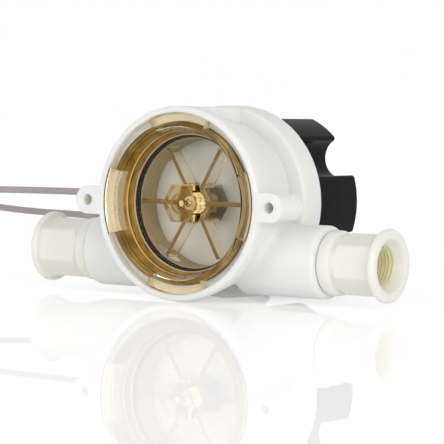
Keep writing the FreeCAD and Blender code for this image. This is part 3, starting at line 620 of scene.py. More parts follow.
def bevelled(mesh: Mesh, width: float, segments: int = 2, limit_degrees: float = 30.0) -> Mesh:
    """Round the sharp edges of a mesh.

    Args:
        mesh: the sharp mesh.
        width: width of the rounding.
        segments: steps across the rounding.
        limit_degrees: edges flatter than this stay as they are.

    Returns:
        The rounded copy.
    """
    holder = place_in_scene("bevel", mesh)
    modifier = holder.modifiers.new("round", "BEVEL")
    modifier.width = width
    modifier.segments = segments
    modifier.limit_method = "ANGLE"
    modifier.angle_limit = math.radians(limit_degrees)
    return evaluated_mesh(holder)


@dataclass(frozen=True)
class Ring:
    """One loop of a polar loft: a station along the axis, and a radius that may change round it.

    The band up to the next loop has one finish, and may have another where its columns are not raised.
    """

    station_mm: float
    radius: float | RadiusAt
    finish: int = 0
    low_finish: int | None = None

    def at(self, angle: float, raised: bool) -> float:
        """The radius in millimetres at an angle."""
        return self.radius(angle, raised) if callable(self.radius) else self.radius


@dataclass(frozen=True)
class PolarLoft:
    """A solid made of loops round an axis. Round, six-sided and helical stretches join in one skin."""

    origin: Vector
    along: Vector
    zero: Vector
    columns: Sequence[tuple[float, bool]]
    step_finish: int = 0

    def mesh(self, rings: Sequence[Ring], ring_closed: bool) -> Mesh:
        """Skin the loops.

        Args:
            rings: loops in order along the outline.
            ring_closed: True where the last loop joins the first, as on a tube.

        Returns:
            A closed mesh in the row frame.
        """
        quarter = self.along.cross(self.zero)
        sheet = bmesh.new()
        rows = []
        for ring in rings:
            middle = self.origin + self.along * (ring.station_mm * MM)
            row = []
            for angle, raised in self.columns:
                out = self.zero * math.cos(angle) + quarter * math.sin(angle)
                row.append(sheet.verts.new(middle + out * (ring.at(angle, raised) * MM)))
            rows.append(row)
        bands = list(zip(rings, rows, rows[1:]))
        if ring_closed:
            bands.append((rings[-1], rows[-1], rows[0]))
        for ring, lower, upper in bands:
            for i, (_, raised) in enumerate(self.columns):
                j = (i + 1) % len(self.columns)
                face = sheet.faces.new((lower[i], lower[j], upper[j], upper[i]))
                if raised != self.columns[j][1]:
                    face.material_index = self.step_finish
                elif raised or ring.low_finish is None:
                    face.material_index = ring.finish
                else:
                    face.material_index = ring.low_finish
        return solid_mesh(sheet)


def hexagon(corner_mm: float, inset_mm: float = 0.0) -> RadiusAt:
    """The outline of a hexagon.

    Args:
        corner_mm: its corner radius.
        inset_mm: how far its sides are drawn in.

    Returns:
        Its radius by angle.
    """
    flat = corner_mm * math.cos(math.pi / 6) - inset_mm

    def radius(angle: float, raised: bool) -> float:
        """Distance from the axis to the hexagon at this angle."""
        return flat / math.cos(angle % (math.pi / 3) - math.pi / 6)

    return radius


def corner(center: Pair, radius_mm: float, start_degrees: float, stop_degrees: float, steps: int,
           finish: int = 0) -> list[Ring]:
    """Rings round a turn of an outline.

    Args:
        center: station and radius of the arc's middle, in millimetres.
        radius_mm: the arc's radius.
        start_degrees: first angle, where 0 points along the axis and 90 points outwards.
        stop_degrees: last angle.
        steps: number of steps.
        finish: place of the finish of these bands.

    Returns:
        The rings in order.
    """
    station, middle = center
    turns = [math.radians(turn) for turn in stops(start_degrees, stop_degrees, steps)]
    return [Ring(station + radius_mm * math.cos(turn), middle + radius_mm * math.sin(turn), finish)
            for turn in turns]


@dataclass
class NodeTreeMaker:
    """A Geometry Nodes tree with a named input for each value, turned into a plain mesh."""

    name: str
    values: dict[str, object]
    sheet: NodeSheet = field(init=False)
    given: dict[str, Socket] = field(init=False)
    identifiers: dict[str, str] = field(init=False)

    def __post_init__(self) -> None:
        """Open the tree with its sockets."""
        kinds = {int: "NodeSocketInt", float: "NodeSocketFloat", Vector: "NodeSocketVector",
                 Material: "NodeSocketMaterial"}
        tree = bpy.data.node_groups.new(self.name, "GeometryNodeTree")
        self.identifiers = {}
        for label, value in self.values.items():
            socket = tree.interface.new_socket(label, in_out="INPUT", socket_type=kinds[type(value)])
            self.identifiers[label] = socket.identifier
        tree.interface.new_socket("Geometry", in_out="OUTPUT", socket_type="NodeSocketGeometry")
        self.sheet = NodeSheet(tree)
        entry = self.sheet.add("NodeGroupInput")
        self.given = {socket.name: socket for socket in entry.outputs if socket.name}

    def end(self, geometry: Socket, material: Socket, where: object = True) -> None:
        """Close the tree with real geometry.

        Args:
            geometry: what the tree has made.
            material: the finish that is set last.
            where: the faces that get that finish.
        """
        real = self.sheet.add("GeometryNodeRealizeInstances", {0: geometry})
        self.sheet.add("NodeGroupOutput", {0: self.sheet.painted(real.outputs[0], material, where)})

    def mesh(self, **changes: object) -> Mesh:
        """Run the tree.

        Args:
            changes: values that differ from the tree's own, by label.

        Returns:
            The plain mesh that it makes.
        """
        holder = place_in_scene(self.name, bpy.data.meshes.new(self.name))
        modifier = holder.modifiers.new(self.name, "NODES")
        modifier.node_group = self.sheet.tree
        for label, value in {**self.values, **changes}.items():
            modifier[self.identifiers[label]] = value
        return evaluated_mesh(holder)


@dataclass
class Housing:
    """The white housing and what is sealed inside it."""

    shells: tuple[str, ...] = ("housing_body", "rear_cover")
    seals: tuple[str, ...] = ("lens_seal", "outlet_seal", "inlet_seal", "cover_gasket")
    chips: tuple[str, ...] = ("hall_sensor", "board_capacitor", "voltage_regulator")

    def dress(self) -> None:
        """Give the housing's solids their finishes."""
        dress(Finish.HOUSING, *self.shells)
        dress(Finish.SEAL, *self.seals)
        dress(Finish.STEEL, "axle_pin")
        dress(Finish.BOARD, "circuit_board")
        dress(Finish.CHIP, *self.chips)
        dress(Finish.TERMINAL, "wire_terminal")


class LensBand(IntEnum):
    """Places of the lens finishes."""

    CLEAR = 0
    # Opaque amber with painted shade.
    FROST = 1
    # Opaque amber with painted light.
    PALE = 2
    # Opaque amber with a painted highlight, on the ends of the lugs.
    LUG_END = 3


@dataclass
class Lens:
    """The amber lens: a cup with four lugs, a window and a six-sided nose."""

    cup_r_mm: float = 39.0
    lip_r_mm: float = 36.9
    foot_r_mm: float = 33.8
    foot_round_mm: float = 1.6
    window_mm: float = 11.2
    rear_mm: float = 14.2
    lug_r_mm: float = 43.0
    lug_mm: float = 4.6
    lug_half: float = math.radians(22.5)
    lug_count: int = 4
    nose_r_mm: float = 10.25
    nose_mm: float = 3.0
    nose_edge_mm: float = 0.55
    nose_foot_mm: float = 0.9
    foot_knee_mm: Pair = (0.3, 0.25)
    ring_out_mm: float = 4.8
    ring_out_draft_mm: float = 0.3
    ring_in_mm: float = 3.0
    ring_in_draft_mm: float = 0.2
    ring_deep_mm: float = 0.8
    blind_r_mm: float = 1.55
    blind_mm: float = 5.3
    # From this radius out the rear face carries painted light, then painted shade.
    frost_mm: float = 33.2
    pale_ring_mm: float = 1.1
    pale_mm: float = 9.0
    edge_mm: float = 0.35
    edge_knee: float = 0.3
    lip_knee: float = 0.2
    step_degrees: float = 1.5
    same_angle: float = 1e-6

    def columns(self) -> list[tuple[float, bool]]:
        """Angles round the lens, doubled at the ends of the lugs.

        Returns:
            Each angle, and whether it is on a lug.
        """
        spread = []
        pitch = 2 * math.pi / self.lug_count
        for i in range(round(360 / self.step_degrees)):
            angle = math.radians(self.step_degrees * i)
            turn = (angle + pitch / 2) % pitch
            away = abs(turn - pitch / 2)
            if abs(away - self.lug_half) < self.same_angle:
                leaving = turn > pitch / 2
                spread += [(angle, leaving), (angle, not leaving)]
            else:
                spread.append((angle, away < self.lug_half))
        return spread

    def lug(self, drawn_in_mm: float) -> RadiusAt:
        """The outline of the lugs, and of the cup between them.

        Args:
            drawn_in_mm: how far the outline is drawn in.

        Returns:
            Its radius by angle.
        """

        def radius(angle: float, raised: bool) -> float:
            """Radius at this angle."""
            return (self.lug_r_mm if raised else self.cup_r_mm) - drawn_in_mm

        return radius

    def rear_rings(self) -> list[Ring]:
        """The blind hole of the pin, the rear face and the outside of the cup.

        Returns:
            The rings in order.
        """
        edge, rear, hole, cup = self.edge_mm, self.rear_mm, self.blind_r_mm, self.cup_r_mm
        # pale holds the band of painted light; the other band holds painted shade.
        painted_shade, pale = LensBand.FROST, LensBand.PALE
        rings = [
            Ring(self.blind_mm, 0.0), Ring(self.blind_mm, hole), Ring(rear - edge, hole),
            Ring(rear, hole + edge), Ring(rear, self.frost_mm, pale),
            Ring(rear, self.frost_mm + self.pale_ring_mm, painted_shade), Ring(rear, cup - edge, painted_shade)]
        rings += corner((rear - edge, cup - edge), edge, 0, 90, steps=3, finish=painted_shade)[1:]
        return rings + [Ring(self.pale_mm, cup, pale, painted_shade)]

    def lug_rings(self) -> list[Ring]:
        """The back, outside and front of the lugs.

        Returns:
            The rings in order.
        """
        edge, clear, painted_shade = self.edge_mm, LensBand.CLEAR, LensBand.FROST
        knee = edge * self.edge_knee
        return [
            Ring(self.lug_mm, self.cup_r_mm, clear, painted_shade), Ring(self.lug_mm, self.lug(edge), clear, painted_shade),
            Ring(self.lug_mm - edge, self.lug(0.0), clear, painted_shade), Ring(edge, self.lug(0.0)),
            Ring(knee, self.lug(knee)), Ring(0.0, self.lug(edge))]

    def wall_rings(self) -> list[Ring]:
        """The lip, the leaning wall and the rounded foot of the wall.

        Returns:
            The rings in order.
        """
        edge, lip = self.edge_mm, self.lip_r_mm
        foot = (self.window_mm - self.foot_round_mm, self.foot_r_mm - self.foot_round_mm)
        lean_degrees = math.degrees(math.atan((lip - self.foot_r_mm) / self.window_mm))
        rings = [Ring(0.0, lip + edge), Ring(edge * self.edge_knee, lip + edge * self.lip_knee),
                 Ring(edge, lip)]
        rings += corner(foot, self.foot_round_mm, 90 - lean_degrees, 0, steps=6)[:-1]
        return rings + [Ring(self.window_mm, foot[1])]

    def nose_rings(self) -> list[Ring]:
        """The hexagon nose and the sunk ring in its front.

        Returns:
            The rings in order.
        """
        edge, nose, painted_shade = self.nose_edge_mm, self.nose_r_mm, LensBand.FROST
        front, window = self.nose_mm, self.window_mm
        knee, deep = edge * self.edge_knee, front + self.ring_deep_mm
        rise, reach = self.foot_knee_mm
        # The nose's front edge and its sunk ring carry painted shade.
        return [
            Ring(window, hexagon(nose, -self.nose_foot_mm)), Ring(window - rise, hexagon(nose, -reach)),
            Ring(window - self.nose_foot_mm, hexagon(nose)), Ring(front + edge, hexagon(nose), painted_shade),
            Ring(front + knee, hexagon(nose, knee), painted_shade), Ring(front, hexagon(nose, edge)),
            Ring(front, self.ring_out_mm, painted_shade), Ring(deep, self.ring_out_mm - self.ring_out_draft_mm),
            Ring(deep, self.ring_in_mm + self.ring_in_draft_mm), Ring(front, self.ring_in_mm),
            Ring(front, 0.0)]

    def build(self) -> Piece:
        """Make the lens as one skin.

        Returns:
            The piece.
        """
        rings = self.rear_rings() + self.lug_rings() + self.wall_rings() + self.nose_rings()
        along, zero = Vector((0, 1, 0)), Vector((1, 0, 0))
        loft = PolarLoft(spot(0, 0, 0), along, zero, self.columns(), LensBand.LUG_END)
        finishes = [Finish.LENS, Finish.FROST, Finish.PALE, Finish.LUG_END]
        piece = new_piece("amber_lens", loft.mesh(rings, ring_closed=False), finishes)
        return settle(piece, Body.LENS, ["lens_cover"])


@dataclass
class Rotor:
    """The amber paddle wheel with its bush and magnet. Each size in millimetres is an input of its tree."""

    blades: int = 6
    tip_mm: float = 30.3
    thickness_mm: float = 1.9
    blade_start_mm: float = 15.7
    blade_end_mm: float = 23.4
    recess_mm: float = 7.2
    recess_floor_mm: float = 20.3
    hub_mm: float = 9.4
    hub_start_mm: float = 16.4
    hub_end_mm: float = 30.4
    bore_mm: float = 3.0
    seat_in_mm: float = 3.7
    seat_out_mm: float = 6.6
    seat_start_mm: float = 26.4
    overcut_mm: float = 1.0
    skin_mm: float = 0.1
    root_share: float = 0.55
    front_facing: float = -0.7
    hub_sides: int = 6
    seat_sides: int = 96
    core_sides: int = 64
    bore_sides: int = 48
    edge_round: float = 0.16 * MM
    crease_degrees: float = 40.0

    def values(self) -> dict[str, object]:
        """What the tree's inputs get.

        Returns:
            Sizes in metres and finishes, by label.
        """
        sizes = {size.name.removesuffix("_mm").replace("_", " ").title(): getattr(self, size.name) * MM
                 for size in fields(self) if size.name.endswith("_mm")}
        return {"Blades": self.blades, **sizes, "Finish": Finish.WHEEL.material,
                "Edge Finish": Finish.BLADE_EDGE.material, "Hub Finish": Finish.HUB.material}

    def tree(self) -> NodeTreeMaker:
        """The tree that unites hub and blades and cuts the recess, the bore and the magnet's seat.

        Returns:
            The tree, closed.
        """
        maker = NodeTreeMaker("paddle wheel", self.values())
        sheet, given = maker.sheet, maker.given

        def bar(sides: int, radius: Socket, start: Socket, stop: Socket) -> Socket:
            """A prism along the wheel's axis."""
            prism = sheet.add("GeometryNodeMeshCylinder", {
                "Vertices": sides, "Radius": radius, "Depth": sheet.math("SUBTRACT", stop, start)})
            return sheet.moved(prism.outputs[0], sheet.vector(z=sheet.middle(start, stop)))

        def cut(solid: Socket, *tools: Socket) -> Socket:
            """Take tools out of a solid.

            Args:
                solid: the solid.
                tools: what is taken out of it.

            Returns:
                What is left.
            """
            node = sheet.add("GeometryNodeMeshBoolean", {"Mesh 1": solid},
                             operation="DIFFERENCE", solver="EXACT")
            for tool in tools:
                sheet.tree.links.new(tool, node.inputs["Mesh 2"])
            return node.outputs[0]

        root = sheet.math("MULTIPLY", given["Hub"], self.root_share)
        size = sheet.vector(sheet.math("SUBTRACT", given["Tip"], root), given["Thickness"],
                            sheet.math("SUBTRACT", given["Blade End"], given["Blade Start"]))
        plate = sheet.add("GeometryNodeMeshCube", {"Size": size})
        seat = sheet.vector(sheet.middle(given["Tip"], root), 0.0,
                            sheet.middle(given["Blade Start"], given["Blade End"]))
        points = sheet.add("GeometryNodePoints", {"Count": given["Blades"]})
        share = sheet.math("DIVIDE", 2 * math.pi, given["Blades"])
        turn = sheet.math("MULTIPLY", sheet.add("GeometryNodeInputIndex").outputs[0], share)
        ring = sheet.add("GeometryNodeInstanceOnPoints", {
            "Points": points.outputs[0], "Instance": sheet.moved(plate.outputs[0], seat),
            "Rotation": sheet.vector(z=turn)})
        blades = sheet.add("GeometryNodeRealizeInstances", {0: ring.outputs[0]})
        wheel = sheet.add("GeometryNodeMeshBoolean", {"Self Intersection": True},
                          operation="UNION", solver="EXACT")
        hub = bar(self.hub_sides, given["Hub"], given["Hub Start"], given["Hub End"])
        for solid in (hub, blades.outputs[0]):
            sheet.tree.links.new(solid, wheel.inputs["Mesh 2"])
        overcut = given["Overcut"]
        past = sheet.math("ADD", given["Hub End"], overcut)
        ahead = sheet.math("SUBTRACT", given["Blade Start"], overcut)
        core_start = sheet.math("SUBTRACT", given["Seat Start"], overcut)
        core = bar(self.core_sides, given["Seat In"], core_start, sheet.math("ADD", past, overcut))
        magnet_seat = cut(bar(self.seat_sides, given["Seat Out"], given["Seat Start"], past), core)
        recess = bar(self.seat_sides, given["Recess"], ahead, given["Recess Floor"])
        hollow = cut(wheel.outputs[0], magnet_seat, recess, bar(self.bore_sides, given["Bore"], ahead, past))
        upright = sheet.moved(hollow, spot(0, 0, 0), (-math.pi / 2, 0.0, 0.0))
        x, y, z = sheet.parts(sheet.add("GeometryNodeInputPosition").outputs[0])
        away = sheet.away(x, sheet.math("SUBTRACT", z, AXIS_HEIGHT_MM * MM))
        along = sheet.math("SUBTRACT", y, FRONT_PLANE_MM * MM)
        facing = sheet.parts(sheet.add("GeometryNodeInputNormal").outputs[0])[1]
        # Front faces of the blades get painted shade.
        edges = sheet.math("MULTIPLY", sheet.math("GREATER_THAN", away, given["Hub"]),
                           sheet.math("LESS_THAN", facing, self.front_facing))
        # The hub's recess gets the painted glow.
        inside = sheet.math(
            "MULTIPLY", sheet.math("LESS_THAN", away, sheet.math("ADD", given["Recess"], given["Skin"])),
            sheet.math("LESS_THAN", along, sheet.math("ADD", given["Recess Floor"], given["Skin"])))
        with_painted_edge_shade = sheet.painted(sheet.painted(upright, given["Finish"]), given["Edge Finish"], edges)
        maker.end(with_painted_edge_shade, given["Hub Finish"], inside)
        return maker

    def build(self) -> Piece:
        """Make the wheel and dress what it carries.

        Returns:
            The wheel.
        """
        mesh = bevelled(self.tree().mesh(), self.edge_round)
        piece = new_piece("paddle_wheel", mesh, crease_degrees=self.crease_degrees)
        dress(Finish.BUSH, "rotor_bush")
        dress(Finish.MAGNET, "rotor_magnet")
        return settle(piece, Body.ROTOR, ["rotor"])


class Side(Enum):
    """The two ends of the flow path, by their direction along X."""

    OUTLET = 1
    INLET = -1


class AdapterBand(IntEnum):
    """Places of the adapter finishes."""

    OUTSIDE = 0
    BORE = 1


@dataclass
class Adapter:
    """An ivory adapter with a threaded mouth."""

    side: Side
    flow_y_mm: float = 33.0
    flow_z_mm: float = -26.0
    spigot_mm: float = 53.4
    spigot_r_mm: float = 12.0
    spigot_edge_mm: float = 0.6
    groove_mm: float = 59.0
    groove_half_mm: float = 1.3
    groove_r_mm: float = 10.25
    collar_mm: float = 67.6
    collar_end_mm: float = 74.4
    collar_r_mm: float = 15.5
    collar_round_mm: float = 1.9
    collar_last_degrees: float = 10.0
    neck_r_mm: float = 13.2
    neck_lead_mm: float = 0.1
    neck_ease_mm: float = 0.15
    neck_gap_mm: float = 0.3
    hex_mm: float = 75.8
    hex_r_mm: float = 15.0
    hex_lead_mm: float = 2.2
    hex_lead_slope: float = 0.95
    hex_round_mm: float = 0.25
    hex_blend_mm: float = 0.18
    hex_turn: float = math.radians(7.5)
    flare_mm: float = 2.6
    flare_gap_mm: float = 0.1
    mouth_mm: float = 96.6
    mouth_r_mm: float = 17.5
    mouth_end_mm: float = 100.4
    mouth_round_mm: float = 1.9
    mouth_back: float = 0.9
    mouth_first_degrees: float = 165.0
    dish_r_mm: float = 12.9
    dish_mm: float = 3.7
    dish_ease_mm: float = 0.4
    thread_r_mm: float = 9.3
    thread_root_mm: float = 10.42
    thread_lead_mm: float = 1.2
    thread_long_mm: float = 16.5
    pitch_mm: float = 1.814
    rings_per_pitch: int = 10
    run_in_mm: float = 0.8
    run_in_depth: float = 0.35
    run_out_mm: float = 1.5
    flank_slope: float = 2.6
    root_flat: float = 0.15
    mouth_cone_mm: float = 0.6
    mouth_cone_slope: float = 0.35
    port_r_mm: float = 8.0
    port_edge_mm: float = 0.4
    column_count: int = 120
    crease_degrees: float = 38.0

    @property
    def thread_start_mm(self) -> float:
        """Station of the first turn."""
        return self.mouth_end_mm - self.dish_mm - self.thread_lead_mm

    def soft_hexagon(self, angle: float) -> float:
        """The hexagon's outline with rounded corners.

        Args:
            angle: the angle round the adapter.

        Returns:
            The radius there.
        """
        flat = self.hex_r_mm * math.cos(math.pi / 6)
        turn = (angle + self.hex_turn * self.side.value) % (math.pi / 3) - math.pi / 6
        limits = (flat / math.cos(turn), self.hex_r_mm - self.hex_round_mm)
        return -self.hex_blend_mm * math.log(sum(math.exp(-limit / self.hex_blend_mm) for limit in limits))

    def flats(self, station_mm: float) -> RadiusAt:
        """The outside between collar and mouth: a broken start, six flats, and a flare into the mouth flange.

        Args:
            station_mm: the station along the adapter.

        Returns:
            The radius by angle.
        """
        cone = self.neck_r_mm + (station_mm - self.hex_mm) * self.hex_lead_slope
        ahead = min(self.flare_mm, max(0.0, station_mm - (self.mouth_mm - self.flare_mm)))
        flare = self.flare_mm - math.sqrt(self.flare_mm ** 2 - ahead ** 2)

        def radius(angle: float, raised: bool) -> float:
            """Radius at this angle."""
            return min(self.soft_hexagon(angle), cone) + flare

        return radius

    def thread(self, station_mm: float) -> RadiusAt:
        """The threaded bore, running out at both ends.

        Args:
            station_mm: the station along the adapter.

        Returns:
            The radius by angle.
        """
        inward = self.thread_start_mm - station_mm
        left = max(0.0, self.thread_long_mm - inward)
        fade = max(0.0, min(1.0, inward / self.run_in_mm + self.run_in_depth, left / self.run_out_mm))
        mouth = max(0.0, self.mouth_cone_mm - self.mouth_cone_slope * inward)
        depth = (self.thread_root_mm - self.thread_r_mm) * fade

        def radius(angle: float, raised: bool) -> float:
            """Follow the thread round its turn.

            Args:
                angle: the angle round the adapter.
                raised: has no effect, because the adapter has no lugs.

            Returns:
                The radius there.
            """
            phase = (inward / self.pitch_mm + angle / (2 * math.pi)) % 1.0
            ridge = min(1.0, max(0.0, abs(phase - 0.5) * self.flank_slope - self.root_flat))
            return self.thread_r_mm + mouth + depth * (1.0 - ridge)

        return radius

    def spigot_rings(self) -> list[Ring]:
        """The spigot with the groove of its seal.

        Returns:
            The rings in order.
        """
        near, far = self.groove_mm - self.groove_half_mm, self.groove_mm + self.groove_half_mm
        start, outside, edge, deep = self.spigot_mm, self.spigot_r_mm, self.spigot_edge_mm, self.groove_r_mm
        return [Ring(start, self.port_r_mm + self.port_edge_mm), Ring(start, outside - edge),
                Ring(start + edge, outside), Ring(near, outside), Ring(near, deep), Ring(far, deep),
                Ring(far, outside), Ring(self.collar_mm, outside)]

    def outer_rings(self) -> list[Ring]:
        """The collar, the neck, and the hexagon with its flare.

        Returns:
            The rings in order.
        """
        bend, top = self.collar_round_mm, self.collar_r_mm - self.collar_round_mm
        rings = corner((self.collar_mm + bend, top), bend, 180, 90, steps=5)
        rings += corner((self.collar_end_mm - bend, top), bend, 90, self.collar_last_degrees, steps=5)
        rings += [Ring(self.collar_end_mm + self.neck_lead_mm, self.neck_r_mm + self.neck_ease_mm),
                  Ring(self.hex_mm - self.neck_gap_mm, self.neck_r_mm)]
        stations = stops(self.hex_mm, self.hex_mm + self.hex_lead_mm, steps=6)
        stations += stops(self.mouth_mm - self.flare_mm, self.mouth_mm - self.flare_gap_mm, steps=7)
        return rings + [Ring(station, self.flats(station)) for station in stations]

    def mouth_rings(self) -> list[Ring]:
        """The mouth flange and its dish.

        Returns:
            The rings in order.
        """
        bend, first = self.mouth_round_mm, self.mouth_first_degrees
        end, top = self.mouth_end_mm - bend, self.mouth_r_mm - bend
        seat = self.thread_r_mm + self.thread_lead_mm + self.dish_ease_mm
        slope = math.atan2(self.dish_r_mm - seat, self.dish_mm)
        inner = self.dish_r_mm - bend * math.tan(slope) + bend / math.cos(slope)
        rings = corner((self.mouth_mm + bend * self.mouth_back, top), bend, first, 90, steps=5)
        rings += corner((end, top), bend, 90, 0, steps=6)
        rings += corner((end, inner), bend, 0, math.degrees(slope) - 90, steps=6)
        return rings + [Ring(self.mouth_end_mm - self.dish_mm, seat)]

    def bore_rings(self) -> list[Ring]:
        """The threaded bore and the port behind it.

        Returns:
            The rings in order.
        """
        # The bore's band carries the painted glow.
        bore, last = AdapterBand.BORE, self.thread_start_mm - self.thread_long_mm
        steps = round(self.thread_long_mm / self.pitch_mm * self.rings_per_pitch)
        turns = [Ring(station, self.thread(station), bore)
                 for station in stops(self.thread_start_mm, last, steps)]
        return turns + [Ring(last, self.port_r_mm, bore),
                        Ring(self.spigot_mm + self.port_edge_mm, self.port_r_mm, bore)]

    def build(self) -> Piece:
        """Make the adapter as one skin, from the spigot over the outside and back through the bore.

        Returns:
            The piece.
        """
        rings = self.spigot_rings() + self.outer_rings() + self.mouth_rings() + self.bore_rings()
        columns = [(2 * math.pi * i / self.column_count, False) for i in range(self.column_count)]
        along = Vector((self.side.value, 0, 0))
        loft = PolarLoft(spot(0, self.flow_y_mm, self.flow_z_mm), along, Vector((0, 0, 1)), columns)
        node = f"{self.side.name.lower()}_adapter"
        mesh = loft.mesh(rings, ring_closed=True)
        piece = new_piece("ivory_" + node, mesh, [Finish.ADAPTER, Finish.BORE], self.crease_degrees)
        return settle(piece, Body.HOUSING, [node])


@dataclass
class Knob:
    """The black hand knob."""

    node: str = "hand_knob"

    def dress(self) -> None:
        """Give the knob its finish."""
        dress(Finish.KNOB, self.node)


@dataclass
class Cable:
    """The sensor cable: strain relief, route, put-away turns and stripped end."""

    radius_mm: float = 1.75
    length: float = 1.1
    gland_y_mm: float = 48.2
    gland_z_mm: float = 1.5
    gland_tip_mm: float = 66.0
    rib_count: int = 7
    rib_first_mm: float = 53.2
    rib_last_mm: float = 65.2
    rib_first_r_mm: float = 4.2
    rib_last_r_mm: float = 2.842
    rib_width_mm: float = 4.2
    rib_share: float = 0.16
    rib_steps: int = 40
    rib_section_steps: int = 10
    coil_x_mm: float = -56.0
    coil_y_mm: float = 122.0
    coil_in_mm: float = 18.15
    coil_out_mm: float = 21.85
    coil_lift_mm: float = 0.7
    layer_mm: float = 3.6
    turns: float = 5.25
    points_per_turn: int = 16
    climb_points: int = 4
    lift_points: int = 8
    tail_mm: float = 56.0
    tail_side_mm: float = 19.4
    tail_bow_mm: float = 1.4
    tie_width_mm: float = 2.4
    tie_thick_mm: float = 0.55
    tie_slack_mm: float = 0.1
    tie_square: float = 5.0
    tie_steps: int = 48
    tie_turn: float = math.radians(20)
    head_mm: tuple[float, float, float] = (2.4, 4.0, 4.2)
    head_seat_mm: float = 1.1
    head_round_mm: float = 0.5
    lead_r_mm: float = 0.7
    lead_spread_mm: float = 6.0
    strands: int = 7
    strand_sides: int = 8
    strand_r_mm: float = 0.15
    bundle_r_mm: float = 0.3
    bare_mm: float = 5.5

    @property
    def floor_mm(self) -> float:
        """Height of the cable's middle where it lies on the floor."""
        return self.radius_mm - AXIS_HEIGHT_MM

    def route(self) -> list[Vector]:
        """The free run from the strain relief round to the put-away turns.

        Returns:
            Its control points.
        """
        low, y, z = self.floor_mm, self.gland_y_mm, self.gland_z_mm
        return [spot(*point) for point in (
            (-56, y, z), (-98, y, z), (-150, 48.6, 0.6), (-190, 50.5, -0.8), (-206, 60, -3), (-207, 76, -6.6),
            (-193, 86, -9.5), (-160, 88.5, -12.3), (-114, 89, -12.6), (-84, 91, -17), (-58, 95, -29),
            (-42, 101.5, -40.5), (-35, 110.5, low))]

    def coil(self) -> list[Vector]:
        """The put-away turns, two wide and three high.

        Returns:
            Their control points.
        """
        near, far, count = self.coil_in_mm, self.coil_out_mm, self.points_per_turn
        seats = [(far, 0), (near, 0), (near, 1), (far, 1), (far, 2), (near, 2)]
        swell = 1.0 / math.cos(math.pi / count) ** 2
        points = []
        for i in range(round(self.turns * count) + 1):
            turn, step = divmod(i, count)
            share = min(1.0, max(0.0, (step - count + self.climb_points) / self.climb_points))
            here, ahead = seats[turn], seats[min(turn + 1, len(seats) - 1)]
            radius, layer = (a + (b - a) * share for a, b in zip(here, ahead))
            lift = self.coil_lift_mm * min(1.0, i / self.lift_points)
            angle = 2 * math.pi * i / count
            points.append(spot(self.coil_x_mm + radius * swell * math.cos(angle),
                               self.coil_y_mm + radius * swell * math.sin(angle),
                               self.floor_mm + lift + self.layer_mm * layer))
        return points

    def tail(self) -> list[Vector]:
        """The free end beyond the turns.

        Returns:
            Its control points.
        """
        x, y, low = self.coil_x_mm, self.coil_y_mm + self.tail_side_mm, self.floor_mm
        return [spot(x - self.tail_mm / 2, y + self.tail_bow_mm, low + self.layer_mm),
                spot(x - self.tail_mm, y, low)]

    def strand(self, name: str, points: Sequence[Vector], radius_mm: float, finish: Finish) -> Piece:
        """A smooth round strand.

        Args:
            name: the piece's name.
            points: control points of its line.
            radius_mm: its radius.
            finish: its finish.

        Returns:
            The curve object.
        """
        curve = bpy.data.curves.new(name, "CURVE")
        curve.dimensions = "3D"
        line = curve.splines.new("NURBS")
        line.points.add(len(points) - 1)
        for place, point in zip(line.points, points):
            place.co = (*point, 1.0)
        line.order_u = 3
        line.use_endpoint_u = True
        line.resolution_u = 6
        curve.bevel_depth = radius_mm * MM
        curve.bevel_resolution = 6
        curve.use_fill_caps = True
        curve.materials.append(finish.material)
        return place_in_scene(name, curve)

    def ribs(self) -> Piece:
        """Raised rings along the strain relief.

        Returns:
            The piece.
        """
        maker = NodeTreeMaker("relief ribs", {
            "Count": self.rib_count, "First": -self.rib_first_mm * MM, "Last": -self.rib_last_mm * MM,
            "First Radius": self.rib_first_r_mm * MM, "Last Radius": self.rib_last_r_mm * MM,
            "Width": self.rib_width_mm * MM, "Finish": Finish.GLAND.material})
        sheet, given = maker.sheet, maker.given
        points = sheet.add("GeometryNodePoints", {"Count": given["Count"]})
        index = sheet.add("GeometryNodeInputIndex").outputs[0]
        share = sheet.math("DIVIDE", index, sheet.math("SUBTRACT", given["Count"], 1.0))
        along = sheet.on_the_way(share, given["First"], given["Last"])
        size = sheet.on_the_way(share, given["First Radius"], given["Last Radius"])
        placed = sheet.add("GeometryNodeSetPosition", {
            "Geometry": points.outputs[0], "Position": sheet.vector(along)})
        hoop = sheet.add("GeometryNodeCurvePrimitiveCircle", {"Resolution": self.rib_steps, "Radius": 1.0})
        section = sheet.add("GeometryNodeCurvePrimitiveCircle", {
            "Resolution": self.rib_section_steps, "Radius": self.rib_share})
        ring = sheet.add("GeometryNodeCurveToMesh", {
            "Curve": hoop.outputs[0], "Profile Curve": section.outputs[0]})
        rings = sheet.add("GeometryNodeInstanceOnPoints", {
            "Points": placed.outputs[0],
            "Instance": sheet.moved(ring.outputs[0], (0, 0, 0), (0, math.pi / 2, 0)),
            "Scale": sheet.vector(given["Width"], size, size)})
        maker.end(sheet.moved(rings.outputs[0], spot(0, self.gland_y_mm, self.gland_z_mm)), given["Finish"])
        return settle(new_piece("relief_ribs", maker.mesh()), Body.HOUSING)

